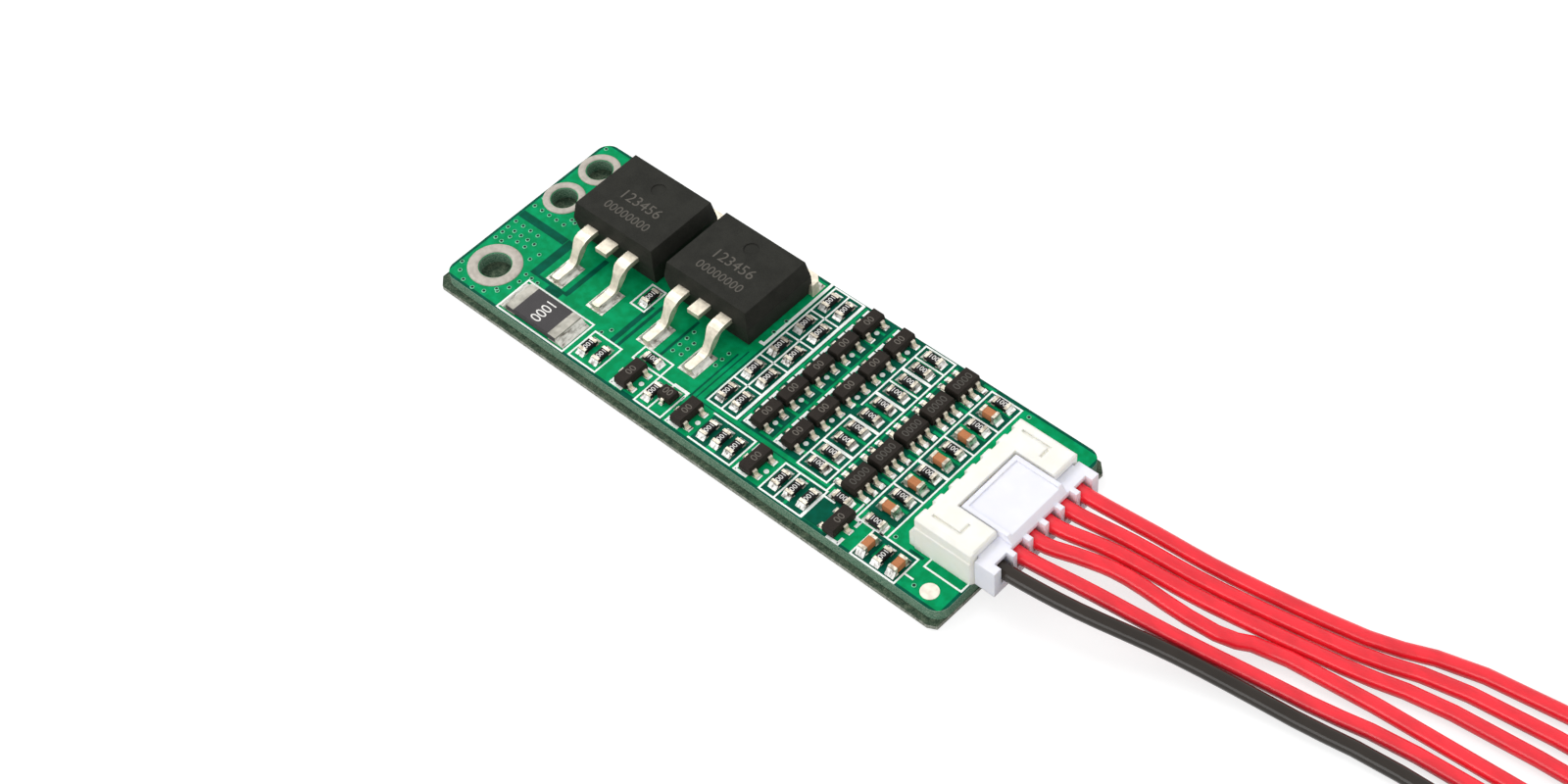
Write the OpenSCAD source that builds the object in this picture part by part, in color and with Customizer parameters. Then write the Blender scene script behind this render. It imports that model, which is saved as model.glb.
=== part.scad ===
// Battery management board: a green circuit board on an insulating sheet, with three
// plated wire holes, two power transistors, a current shunt, five rows of small cell
// circuits and a side-entry header that holds a six-way plug and its wires.
// Millimetres. X runs from the wire holes to the header, Y from the near to the far
// edge, Z up. The origin is the middle of the sheet's underside.

/* [Board] */
// Length of the board
board_l = 58.5; // [57.5:0.5:80]
// Width of the board
board_w = 21; // [21:0.5:30]
// Thickness of the board
board_t = 1.2; // [0.8:0.1:2]
// Radius of the board's corners
corner_r = 1.3; // [0.3:0.1:1.8]

/* [Insulating sheet] */
// Thickness of the sheet
sheet_t = 0.5; // [0.2:0.05:1.5]
// Overhang of the sheet past the wire-hole end
sheet_end = 0.5; // [0:0.1:3]
// Overhang of the sheet past the header end, at the far corner
sheet_head = 0.4; // [0.2:0.1:3]
// Overhang of the sheet past the near edge
sheet_near = 0.6; // [0:0.1:3]
// Overhang of the sheet past the far edge
sheet_far = 0.2; // [0:0.1:3]
// How much further the sheet is cut back at the near header corner
sheet_skew = 0.45; // [0:0.05:1]
// Chamfer of the sheet's corners
sheet_corner = 0.8; // [0.2:0.1:1.5]

/* [Wire holes] */
// Bore of the large wire hole
main_hole_d = 3; // [1.5:0.1:3.6]
// Width of the metal ring round the large hole
main_ring_w = 1.05; // [0.4:0.05:1.1]
// Bore of the two small wire holes
side_hole_d = 2.5; // [1:0.1:2.9]
// Width of the metal ring round a small hole
side_ring_w = 0.75; // [0.3:0.05:0.9]
// Distance between the two small holes
side_hole_step = 4.6; // [4.4:0.1:5.2]
// Step from a hole's edge to its tinned ring
ring_step = 0.06; // [0.02:0.01:0.2]
// Height of the tinned ring above the board
ring_t = 0.12; // [0.04:0.01:0.3]

/* [Power transistors] */
// Width of the moulded body
mos_w = 10; // [9:0.1:10.4]
// Length of the moulded body
mos_l = 8.4; // [7.5:0.1:8.8]
// Height of the moulded body
mos_h = 4.3; // [3:0.1:5]
// Gap between the two bodies
mos_gap = 1.35; // [1:0.05:2]
// Draft of the moulded sides
mos_draft = 9; // [2:1:14]
// Thickness of the metal tab
mos_tab_t = 1.3; // [0.8:0.1:1.6]
// Length of tab past the body
mos_tab_l = 1.1; // [0.5:0.1:1.8]
// Thickness of the leads
mos_lead_t = 0.5; // [0.3:0.05:0.7]
// Width of a lead's foot
mos_lead_w = 0.85; // [0.6:0.05:1]
// Width of a lead's shoulder
mos_shoulder_w = 1.3; // [1.05:0.05:1.6]
// Distance between neighbouring leads
mos_lead_pitch = 2.54; // [2.2:0.01:2.8]
// Height of the leads' middle at the body
mos_lead_z = 2.55; // [2.2:0.05:2.8]
// Reach of the leads out of the body
mos_reach = 5.2; // [4.6:0.1:5.5]

/* [Chip parts] */
// Length of a chip resistor or capacitor
chip_l = 1.6; // [1.5:0.05:1.7]
// Width of a chip resistor or capacitor
chip_w = 0.8; // [0.7:0.05:0.95]
// Height of a chip resistor
res_h = 0.45; // [0.35:0.05:0.6]
// Height of a chip capacitor
cap_h = 0.8; // [0.5:0.05:0.9]
// Length of a chip's end metal
band = 0.3; // [0.15:0.05:0.4]
// Thickness of a chip's end metal
band_t = 0.04; // [0.02:0.01:0.08]
// Length of solder past a chip's end
toe = 0.4; // [0.2:0.05:0.45]
// Thickness of solder under the parts
film = 0.05; // [0.02:0.01:0.12]
// Length of the shunt resistor
shunt_l = 6.25; // [5.5:0.05:6.6]
// Width of the shunt resistor
shunt_w = 3.2; // [2.5:0.1:3.4]
// Height of the shunt resistor
shunt_h = 0.65; // [0.4:0.05:1]
// Length of the shunt's end metal
shunt_band = 0.95; // [0.5:0.05:1.4]

/* [Three-lead transistors] */
// Width of the small transistor's body
q_w = 1.3; // [1.2:0.05:1.4]
// Length of the small transistor's body
q_l = 2.9; // [2.7:0.05:3.05]
// Height of the small transistor's body
q_h = 1; // [0.8:0.05:1.2]
// Distance between its two neighbouring leads
q_pitch = 1.9; // [1.7:0.05:2]
// Width across its leads
q_span = 2.4; // [2.2:0.05:2.6]
// Distance from one transistor to the next along a column
q_row = 3.25; // [3.2:0.05:3.35]

/* [Six-lead chips] */
// Width of the cell chip's body
u_w = 1.6; // [1.5:0.05:1.8]
// Length of the cell chip's body
u_l = 2.9; // [2.7:0.05:3.05]
// Height of the cell chip's body
u_h = 1.1; // [0.9:0.05:1.3]
// Distance between its leads
u_pitch = 0.95; // [0.85:0.01:1]
// Width across its leads
u_span = 3; // [2.6:0.05:3.3]

/* [Cell rows] */
// Number of cell rows
rows = 5; // [1:1:5]
// Height of one cell row along the board's width
row_step = 3.3; // [3.25:0.05:3.35]

/* [Header] */
// Distance between pins
pitch = 2; // [1.9:0.01:2.1]
// Distance of the header from the near edge
header_near = 3.85; // [3.5:0.05:5]
// Depth of the header from its back to its mouth
header_l = 6; // [5.6:0.1:6.2]
// Height of the header
header_h = 4.1; // [4.1:0.05:4.8]
// Thickness of the header's walls
header_wall = 0.75; // [0.5:0.05:0.8]
// Thickness of the square pins
pin_t = 0.5; // [0.35:0.05:0.6]
// Width of the window in the header's roof
window_w = 7.3; // [4:0.1:7.6]
// Gap between the plug and the header
plug_gap = 0.1; // [0.05:0.01:0.15]

/* [Plug and wires] */
// Depth of the plug's collar behind the header
collar_l = 1.35; // [1:0.05:2]
// Height of the plug's raised panel above its body
panel_h = 0.75; // [0.3:0.05:0.8]
// Diameter of a wire
wire_d = 1.4; // [1:0.05:1.45]
// Length of the open comb that the wires leave through
comb_l = 0.7; // [0.4:0.05:1]

/* [Hidden] */
ways = 6;
e = 0.01;

// From the board's near corner and top face to the middle of the sheet's underside
mid = [(board_l + sheet_head - sheet_end) / 2, (board_w + sheet_far - sheet_near) / 2,
    -sheet_t - board_t];

// Widths of the pads that the small transistors, the cell chips and the chip parts take up
q_pads = q_span + 0.3;
u_pads = u_span + 0.7;
chip_side = chip_w + 0.12;
chip_pads = chip_l + 2 * toe;
header_x = board_l + 0.1 - header_l;
main_ring = main_hole_d + 2 * main_ring_w;

// Columns from the wire holes to the header share the free length in these proportions
function total(v, n) = n <= 0 ? 0 : v[n - 1] + total(v, n - 1);
col_w = [main_ring, mos_w, mos_w, chip_side, chip_side, q_pads, q_pads, chip_pads, u_pads,
    chip_pads];
col_gap = [0.6, 0.7, 1.35, 1.35, 0.75, 1.05, 0.8, 0.75, 0.85, 0.7, 2.85];
col_free = (header_x - total(col_w, 10)) / total(col_gap, 11);
col = [for (k = [0:9]) total(col_w, k) + col_w[k] / 2 + total(col_gap, k + 1) * col_free];
main_hole = [col[0], 0.95 + main_ring / 2];
mos_y = 10.7;
mos_x = [col[1], col[2]];
cell_x = [col[3], col[4]];
q_x = [col[5], col[6]];
pair_x = col[7];
u_x = col[8];
rc_x = col[9];
row_y = 5.95;

// Small wire holes, stacked from the far corner
side_ring = side_hole_d + 2 * side_ring_w;
side_hole_far = board_w - 1.1 - side_ring / 2;
side_holes = [for (k = [1, 0]) [0.05 + side_ring / 2, side_hole_far - k * side_hole_step]];

// The strip along the near edge shares its free length in the same way: the shunt, two
// resistors, a transistor, a resistor, a smaller transistor, a transistor, three resistors,
// a transistor, three resistors, a transistor, then capacitor, resistor, capacitor
mini_w = 1.6;
strip_start = main_hole[0] + main_ring / 2;
shunt_toe = 0.9;
edge_w = [shunt_l + 2 * shunt_toe, chip_side, chip_side, q_pads, chip_side, mini_w, q_pads,
    chip_side, chip_side, chip_side, q_pads, chip_side, chip_side, chip_side, q_pads,
    chip_side, chip_side, chip_side];
edge_gap = [1.25, 1.2, 0.7, 1.9, 0.85, 0.15, 0.5, 0.75, 0.6, 0.6, 0.65, 1, 0.65, 0.65, 1.9,
    1.5, 0.7, 0.7, 5.2];
edge_free = (board_l - strip_start - total(edge_w, 18)) / total(edge_gap, 19);
edge_x = [for (k = [0:17]) strip_start + total(edge_w, k) + edge_w[k] / 2
    + total(edge_gap, k + 1) * edge_free];
strip_y = 2;
end_y = 1.5;
step_y = strip_y + 2.45;
under_row = row_y - 2.25;
gate_at = [(mos_x[0] + mos_x[1]) / 2 - 0.2, mos_y - 1.15, 90];
shunt_at = [edge_x[0], strip_y + 0.1];
edge_res = concat([for (k = [1, 2, 4, 7, 8, 9, 11, 12, 13]) [edge_x[k], strip_y, 90]],
    [[edge_x[16], end_y, 90], [edge_x[3] + 0.15, step_y], gate_at, [u_x, under_row],
    [rc_x, under_row]]);
edge_cap = [for (k = [15, 17]) [edge_x[k], end_y, 90]];
edge_q = [for (k = [3, 6, 10]) [edge_x[k], strip_y], [edge_x[14], end_y + 0.15, 180]];
mini_at = [edge_x[5], strip_y + 0.4];

// Header: its back, its middle and the height of its pins
header_end = 1.85;
header_w = (ways - 1) * pitch + 2 * header_end;
header_y = header_near + header_w / 2;
pin_z = header_h / 2;
pin_ys = [for (k = [0:ways - 1]) (k - (ways - 1) / 2) * pitch];
slot_l = 1.3;
slot_w = 1;
back_t = 0.5;
cave_x = slot_l + back_t;
cave_w = header_w - 2 * header_wall;
foot_x = 0.7;
joint_d = pin_t * 1.5 + 0.25;
rib_gap = 0.35;
heel_l = 0.6;
heel_w = 1.5;
heel_z = [1.7, 2.6];
nose_cut = 0.4;
groove = [3, 1.2, 0.26, 0.18];
groove_at = [header_l / 2 - 2, header_w / 2 - 1.2];

// Plug, in the header's own place
plug_w = cave_w - 2 * plug_gap;
plug_z = [header_wall + plug_gap, header_h - header_wall - plug_gap];
window_gap = 0.2;
panel_w = window_w - 2 * window_gap;
rim_w = 0.45;
rim_t = 0.14;
collar_x = header_l + 0.15;
comb_x = collar_x + collar_l;
collar_w = header_w - 0.5;
way_w = wire_d + 0.1;
contact_w = way_w - 0.2;
contact_t = 0.15;
contact_x = cave_x + 0.6;
wire_x = collar_x + 0.65;

// Wires: points past the plug, from the plug to the free end, near one first
routes = [
    [[38, -3.7, 3.3], [46, -1.4, 2], [56, 0.4, 0.9], [72, 2, 0.66], [131, 3, 0.66]],
    [[38, -1.6, 3.3], [45, -0.1, 2.1], [56, 2.2, 0.9], [72, 4.3, 0.66], [131, 6, 0.66]],
    [[35.5, 0.45, 3.6], [39, 1.45, 3.1], [47, 2.4, 1.8], [60, 5.4, 0.8], [131, 9, 0.66]],
    [[37, 2.6, 3.4], [45, 4.15, 2.1], [56, 6.7, 0.9], [72, 9.4, 0.66], [131, 12, 0.66]],
    [[37.5, 4.3, 3.35], [45, 5.75, 2.1], [56, 8.4, 0.9], [72, 11.8, 0.66], [131, 15, 0.66]],
    [[38, 6.15, 3.25], [45, 7.45, 2.1], [56, 10.1, 0.9], [72, 14.2, 0.66], [131, 18, 0.66]]
];

// ---- helpers ----

function unit(v) = v / norm(v);
function perp(v) = [-v[1], v[0]];
function flip(p) = [for (k = [len(p) - 1:-1:0]) p[k]];

// A path with each inner corner rounded by a short curve that starts r before it
function rounded(p, r, n = 3) = [for (k = [0:len(p) - 1])
    if (k == 0 || k == len(p) - 1) p[k]
    else let (a = p[k] + unit(p[k - 1] - p[k]) * r, b = p[k] + unit(p[k + 1] - p[k]) * r)
        for (j = [0:n]) let (s = j / n)
            (1 - s) * (1 - s) * a + 2 * s * (1 - s) * p[k] + s * s * b];

// A strip of thickness t along a path, as an outline
function strip(p, t) = let (
    n = [for (k = [0:len(p) - 2]) perp(unit(p[k + 1] - p[k]))],
    m = [for (k = [0:len(p) - 1]) let (
        a = n[max(k - 1, 0)], b = n[min(k, len(n) - 1)], c = unit(a + b))
        c * (t / 2) / (c * b)])
    concat([for (k = [0:len(p) - 1]) p[k] + m[k]],
        flip([for (k = [0:len(p) - 1]) p[k] - m[k]]));

// An outline in Y and Z, drawn out along X, and one in X and Z, drawn out along Y
module along_x(w) rotate([90, 0, 90]) linear_extrude(w, center = true) children();
module along_y(w) rotate([90, 0, 0]) linear_extrude(w, center = true) children();

// Side view of a moulded block: s wide, from z0 to z1, widest at zp, with a draft
function moulded(s, z0, z1, zp, a) = let (
    h = s / 2, lo = (zp - z0) * tan(a), hi = (z1 - zp) * tan(a))
    [[-h + lo, z0], [h - lo, z0], [h, zp], [h - hi, z1], [-h + hi, z1], [-h, zp]];

module block(w, l, z0, z1, zp, a) intersection() {
    along_y(l + 1) polygon(moulded(w, z0, z1, zp, a));
    along_x(w + 1) polygon(moulded(l, z0, z1, zp, a));
}

// Everything is laid out from the board's near corner and top face
module laid_out() translate(-mid) children();
module at(list) for (p = list) translate([p[0], p[1], 0]) rotate(len(p) > 2 ? p[2] : 0) children();
module both_ends() for (s = [0, 180]) rotate(s) children();

// ---- board, sheet and plated holes ----

module pin_holes() translate([header_x + foot_x, header_y, 0]) for (y = pin_ys)
    translate([0, y, -board_t - 1]) cylinder(d = joint_d, h = board_t + 2, $fn = 32);

module board() color([0.05, 0.6, 0.4]) laid_out() difference() {
    translate([0, 0, -board_t]) linear_extrude(board_t) union() {
        for (x = [corner_r, board_l - corner_r], y = [corner_r, board_w - corner_r])
            translate([x, y]) circle(corner_r, $fn = 48);
        translate([corner_r, 0]) square([board_l - 2 * corner_r, board_w]);
        translate([0, corner_r]) square([board_l, board_w - 2 * corner_r]);
    }
    translate([main_hole[0], main_hole[1], -board_t - 1])
        cylinder(d = main_hole_d, h = board_t + 2, $fn = 64);
    for (p = side_holes) translate([p[0], p[1], -board_t - 1])
        cylinder(d = side_hole_d, h = board_t + 2, $fn = 64);
    pin_holes();
}

module insulating_sheet() color([0.16, 0.2, 0.17]) linear_extrude(sheet_t)
    let (x0 = -sheet_end - mid[0], x1 = board_l + sheet_head - mid[0],
        y0 = -sheet_near - mid[1], y1 = board_w + sheet_far - mid[1], c = sheet_corner)
    polygon([[x0 + c, y0], [x1 - sheet_skew - c, y0], [x1 - sheet_skew, y0 + c / 2],
        [x1, y1 - c], [x1 - c, y1], [x0 + c / 2, y1], [x0, y1 - c / 2], [x0, y0 + c]]);

// Tinned land round a hole, its edges rounded over
module land(d, w) rotate_extrude($fn = 64) let (
    i = d / 2 + ring_step, o = d / 2 + w, t = ring_t, r = w / 4)
    polygon([[i, 0], [o, 0], [o, t * 0.4], [o - r * 0.3, t * 0.75], [o - r, t],
        [i + r, t], [i + r * 0.3, t * 0.75], [i, t * 0.4]]);

module main_pad_ring() color([0.86, 0.84, 0.78]) laid_out()
    translate([main_hole[0], main_hole[1], 0]) land(main_hole_d, main_ring_w);

module side_pad_rings() color([0.86, 0.84, 0.78]) laid_out()
    at(side_holes) land(side_hole_d, side_ring_w);

module test_pad() color([0.93, 0.84, 0.76]) laid_out()
    translate([board_l - 2.15, 1.35, 0]) cylinder(r = 0.82, h = 0.06, $fn = 48);

// ---- power transistors ----

// Lead from inside the body down to its foot, side view from the body's near face
mos_foot = film + mos_lead_t / 2;
mos_path = rounded([[1.2, mos_lead_z], [-1.6, mos_lead_z], [-mos_reach / 2 - 0.15, mos_foot],
    [-mos_reach, mos_foot]], 0.75, 4);
// Middle lead, cut short, with its step down to the tab inside the body
mos_stub = rounded([[2.6, mos_tab_t / 2 + film], [2.1, mos_tab_t / 2 + film], [1.3, mos_lead_z],
    [-1.55, mos_lead_z]], 0.35);

// The bent strip, cut in plan: wide to past its first bend, then tapering to the foot
mos_taper = [1.75, 2.35];
foot_cut = 0.15;
module mos_lead() intersection() {
    along_x(2 * mos_shoulder_w) polygon(strip(mos_path, mos_lead_t));
    linear_extrude(mos_h) let (a = mos_shoulder_w / 2, b = mos_lead_w / 2, y = mos_reach,
        c = foot_cut, n = mos_taper)
        polygon([[-a, 2], [-a, -n[0]], [-b, -n[1]], [-b, c - y], [c - b, -y], [b - c, -y],
            [b, c - y], [b, -n[1]], [a, -n[0]], [a, 2]]);
}

module mos_leads() for (s = [-1, 1]) translate([s * mos_lead_pitch, 0, 0]) mos_lead();

module mos_tab() {
    along_x(mos_shoulder_w + 0.05) polygon(strip(mos_stub, mos_lead_t));
    translate([0, 0, film]) linear_extrude(mos_tab_t) let (w = mos_w / 2 + 0.1,
        n = mos_w * 0.4, y = mos_l, t = mos_tab_l)
        polygon([[-n, 2.3], [n, 2.3], [n, y - 0.7], [n + 0.4, y - 0.3], [w, y - 0.3], [w, y + t * 0.5],
            [w - t * 0.5, y + t], [-w + t * 0.5, y + t], [-w, y + t * 0.5], [-w, y - 0.3],
            [-n - 0.4, y - 0.3], [-n, y - 0.7]]);
}

module mos_mould() difference() {
    translate([0, mos_l / 2, 0]) intersection() {
        along_y(mos_l + 1) polygon(moulded(mos_w, film + 0.05, mos_h + 0.1, mos_lead_z, mos_draft));
        along_x(mos_w + 1) let (h = mos_l / 2, d = tan(mos_draft)) polygon([
            [-h + (mos_lead_z - film) * d, film + 0.05], [h - 0.05, film + 0.05], [h, film + mos_tab_t],
            [h - (mos_h - mos_tab_t) * d, mos_h + 0.1], [-h + (mos_h - mos_lead_z) * d, mos_h + 0.1],
            [-h, mos_lead_z]]);
    }
    translate([0, mos_l - 2.3, mos_h + 0.1 - 0.08]) cylinder(r = 0.7, h = 1, $fn = 40);
    mos_tab();
    mos_leads();
}

module at_mos(k) laid_out() translate([mos_x[k], mos_y, 0]) children();

module mosfet_1_body() color([0.15, 0.15, 0.16]) at_mos(0) mos_mould();
module mosfet_1_tab() color([0.75, 0.75, 0.74]) at_mos(0) mos_tab();
module mosfet_1_leads() color([0.8, 0.8, 0.79]) at_mos(0) mos_leads();
module mosfet_2_body() color([0.15, 0.15, 0.16]) at_mos(1) mos_mould();
module mosfet_2_tab() color([0.75, 0.75, 0.74]) at_mos(1) mos_tab();
module mosfet_2_leads() color([0.8, 0.8, 0.79]) at_mos(1) mos_leads();

// Solder round a foot: side view from the heel, at 0, to the toe, with a land under it
function fillet(heel, toe_at, rise, out) = [
    [heel - out, 0], [toe_at + out, 0], [toe_at + out, film], [toe_at + out * 0.45, film + rise * 0.3],
    [toe_at + e, film + rise * 0.85], [toe_at + e, film], [heel - e, film],
    [heel - e, film + rise * 0.6], [heel - out * 0.5, film + rise * 0.2], [heel - out, film]];

module mosfet_solder() color([0.82, 0.82, 0.8]) laid_out() for (x = mos_x) translate([x, mos_y, 0]) {
    for (s = [-1, 1]) translate([s * mos_lead_pitch, 0, 0]) {
        along_x(mos_lead_w + 1.15) polygon([[-mos_reach - 0.2, 0], [-mos_reach / 2 + 0.2, 0],
            [-mos_reach / 2 + 0.2, film], [-mos_reach - 0.2, film]]);
        for (q = [-1, 1]) translate([q * (mos_lead_w / 2 + e / 2), 0, film]) rotate([90, 0, 0])
            translate([0, 0, mos_reach / 2 + 0.35]) linear_extrude(mos_reach / 2 - 0.45)
            polygon([[0, 0], [q * 0.5, 0], [q * 0.2, mos_lead_t * 0.35], [0, mos_lead_t * 0.85]]);
    }
    linear_extrude(film) translate([-mos_w * 0.4, 2.3]) square([mos_w * 0.8, mos_l - 3]);
    linear_extrude(film) translate([-mos_w / 2 - 0.15, mos_l - 0.3])
        square([mos_w + 0.3, mos_tab_l + 0.55]);
}

// ---- chip parts ----

// Ceramic slab with the glaze between its end metal
module slab(l, w, h, b) translate([0, 0, film]) {
    translate([band_t - l / 2, -w / 2, band_t]) cube([l - 2 * band_t, w, h - 2 * band_t]);
    translate([b - l / 2, -w * 0.48, band_t]) cube([l - 2 * b, w * 0.96, h - band_t]);
}

// End metal folded over a resistor's end
module wrap(l, w, h, b) both_ends() translate([0, 0, film]) along_y(w)
    let (i = l / 2 - b, o = l / 2, t = band_t)
    polygon([[i, 0], [o, 0], [o, h], [i, h], [i, h - t], [o - t, h - t], [o - t, t], [i, t]]);

// Capacitor: a block inside five-sided end caps
module core(l, w, h) translate([0, 0, film + h / 2])
    cube([l - 2 * band_t, w - 2 * band_t, h - 2 * band_t], center = true);
module caps(l, w, h, b) difference() {
    both_ends() translate([l / 2 - b, -w / 2, film]) cube([b, w, h]);
    core(l, w, h);
}

// Land with a solder ramp against a chip's end
module chip_solder(l, w, h, b, t) both_ends() along_y(w + 0.12) let (o = l / 2)
    polygon([[o - b - 0.05, 0], [o + t, 0], [o + t, film], [o + t * 0.45, film + h * 0.22],
        [o + e, film + h * 0.75], [o + e, film], [o - b - 0.05, film]]);

module resistor() slab(chip_l, chip_w, res_h, band);
module resistor_ends() wrap(chip_l, chip_w, res_h, band);
module resistor_solder() chip_solder(chip_l, chip_w, res_h, band, toe);
module capacitor() core(chip_l, chip_w, cap_h);
module capacitor_ends() caps(chip_l, chip_w, cap_h, band);
module capacitor_solder() chip_solder(chip_l, chip_w, cap_h, band, toe);

module shunt_body() color([0.13, 0.13, 0.14]) laid_out() at([shunt_at])
    slab(shunt_l, shunt_w, shunt_h, shunt_band);
module shunt_terminals() color([0.8, 0.8, 0.79]) laid_out() at([shunt_at])
    wrap(shunt_l, shunt_w, shunt_h, shunt_band);
module shunt_solder() color([0.82, 0.82, 0.8]) laid_out() at([shunt_at])
    chip_solder(shunt_l, shunt_w, shunt_h, shunt_band, shunt_toe);

// Two resistors side by side in every cell
cells = [for (r = [0:rows - 1], k = [0, 1])
    [cell_x[k], row_y + 0.1 + r * row_step, 90]];
module cell_resistors() color([0.12, 0.12, 0.13]) laid_out() at(cells) resistor();
module cell_resistor_ends() color([0.8, 0.8, 0.79]) laid_out() at(cells) resistor_ends();
module cell_resistor_solder() color([0.82, 0.82, 0.8]) laid_out() at(cells) resistor_solder();

// Two resistors one above the other in every cell
pairs = [for (r = [0:rows - 1], k = [-1, 1])
    [pair_x, row_y - 0.02 + k * (chip_w / 2 + 0.4) + r * row_step]];
module pair_resistors() color([0.12, 0.12, 0.13]) laid_out() at(pairs) resistor();
module pair_resistor_ends() color([0.8, 0.8, 0.79]) laid_out() at(pairs) resistor_ends();
module pair_resistor_solder() color([0.82, 0.82, 0.8]) laid_out() at(pairs) resistor_solder();

// A resistor and, nearer the near edge, a capacitor in every cell
rc_res = [for (r = [0:rows - 1]) [rc_x, row_y + 0.65 + chip_w / 2 + r * (row_step - 0.1)]];
rc_cap = [for (r = [0:rows - 1]) [rc_x, row_y - 0.15 - chip_w / 2 + r * (row_step - 0.1)]];
module filter_resistors() color([0.12, 0.12, 0.13]) laid_out() at(rc_res) resistor();
module filter_resistor_ends() color([0.8, 0.8, 0.79]) laid_out() at(rc_res) resistor_ends();
module filter_capacitors() color([0.68, 0.42, 0.28]) laid_out() at(rc_cap) capacitor();
module filter_capacitor_ends() color([0.8, 0.8, 0.79]) laid_out() at(rc_cap) capacitor_ends();
module filter_solder() color([0.82, 0.82, 0.8]) laid_out() {
    at(rc_res) resistor_solder();
    at(rc_cap) capacitor_solder();
}

module edge_resistors() color([0.12, 0.12, 0.13]) laid_out() at(edge_res) resistor();
module edge_resistor_ends() color([0.8, 0.8, 0.79]) laid_out() at(edge_res) resistor_ends();
module edge_capacitors() color([0.68, 0.42, 0.28]) laid_out() at(edge_cap) capacitor();
module edge_capacitor_ends() color([0.8, 0.8, 0.79]) laid_out() at(edge_cap) capacitor_ends();
module edge_solder() color([0.82, 0.82, 0.8]) laid_out() {
    at(edge_res) resistor_solder();
    at(edge_cap) capacitor_solder();
}

// ---- small transistors and chips ----

// Gull-wing lead that leaves a body of width w at half height and reaches to span
function gull(w, h, span) = rounded([[w / 2 - 0.25, h / 2 + 0.05], [w / 2 + 0.13, h / 2 + 0.05],
    [w / 2 + 0.22, film + 0.07], [span / 2, film + 0.07]], 0.08, 2);
module gull_lead(w, h, span, t) along_y(t) polygon(strip(gull(w, h, span), 0.14));
module gull_solder(w, span, t, out) along_y(t)
    polygon(fillet(w / 2 + 0.12, span / 2, 0.14, out));

module q_places() {
    for (s = [-1, 1]) translate([0, s * q_pitch / 2, 0]) children();
    rotate(180) children();
}
module q_leads() q_places() gull_lead(q_w, q_h, q_span, 0.42);
module q_solder() q_places() gull_solder(q_w, q_span, 0.6, 0.16);
module q_body() difference() {
    block(q_w, q_l, film + 0.04, q_h + film, q_h / 2 + 0.05, 8);
    q_leads();
}

q1 = [for (r = [0:rows - 1]) [q_x[0], row_y + 0.25 + r * q_row]];
q2 = [for (r = [0:rows - 1]) [q_x[1], row_y + 0.25 + r * q_row]];
module transistor_bodies_1() color([0.15, 0.15, 0.16]) laid_out() at(q1) q_body();
module transistor_leads_1() color([0.8, 0.8, 0.79]) laid_out() at(q1) q_leads();
module transistor_bodies_2() color([0.15, 0.15, 0.16]) laid_out() at(q2) q_body();
module transistor_leads_2() color([0.8, 0.8, 0.79]) laid_out() at(q2) q_leads();
module transistor_solder() color([0.82, 0.82, 0.8]) laid_out() {
    at(q1) q_solder();
    at(q2) q_solder();
}

// One smaller three-lead part stands among those of the near strip
mini = [1.5, 1.25, 0.8];
mini_span = 1.9;
module mini_places() {
    rotate(-90) children();
    for (s = [-1, 1]) translate([s * 0.5, 0, 0]) rotate(90) children();
}
module mini_leads() mini_places() gull_lead(mini[1], mini[2], mini_span, 0.3);
module edge_transistor_bodies() color([0.17, 0.16, 0.16]) laid_out() {
    at(edge_q) q_body();
    at([mini_at]) difference() {
        block(mini[0], mini[1], film + 0.04, mini[2] + film, mini[2] / 2 + 0.05, 6);
        mini_leads();
    }
}
module edge_transistor_leads() color([0.8, 0.8, 0.79]) laid_out() {
    at(edge_q) q_leads();
    at([mini_at]) mini_leads();
}
module edge_transistor_solder() color([0.82, 0.82, 0.8]) laid_out() {
    at(edge_q) q_solder();
    at([mini_at]) mini_places() gull_solder(mini[1], mini_span, 0.4, 0.12);
}

module u_places() both_ends() for (k = [-1:1]) translate([0, k * u_pitch, 0]) children();
module u_leads() u_places() gull_lead(u_w, u_h, u_span, 0.4);
chips = [for (r = [0:rows - 1]) [u_x, row_y - 0.05 + r * row_step]];
module cell_chip_bodies() color([0.15, 0.15, 0.16]) laid_out() at(chips) difference() {
    block(u_w, u_l, film + 0.04, u_h + film, u_h / 2 + 0.05, 8);
    u_leads();
}
module cell_chip_leads() color([0.8, 0.8, 0.79]) laid_out() at(chips) u_leads();
module cell_chip_solder() color([0.82, 0.82, 0.8]) laid_out() at(chips)
    u_places() gull_solder(u_w, u_span, 0.56, 0.35);

// ---- header ----

module at_header() laid_out() translate([header_x, header_y, 0]) children();

module header_pins() color([0.8, 0.78, 0.7]) at_header() for (y = pin_ys) translate([0, y, 0])
    along_y(pin_t) polygon(strip(rounded([[header_l - 1.4, pin_z], [foot_x, pin_z],
        [foot_x, -board_t]], 0.4), pin_t));

module header_solder() color([0.82, 0.82, 0.8]) at_header() for (y = pin_ys)
    translate([foot_x, y, -board_t]) difference() {
        cylinder(d = joint_d, h = board_t, $fn = 32);
        translate([-pin_t / 2, -pin_t / 2, -1]) cube([pin_t, pin_t, board_t + 2]);
    }

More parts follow.
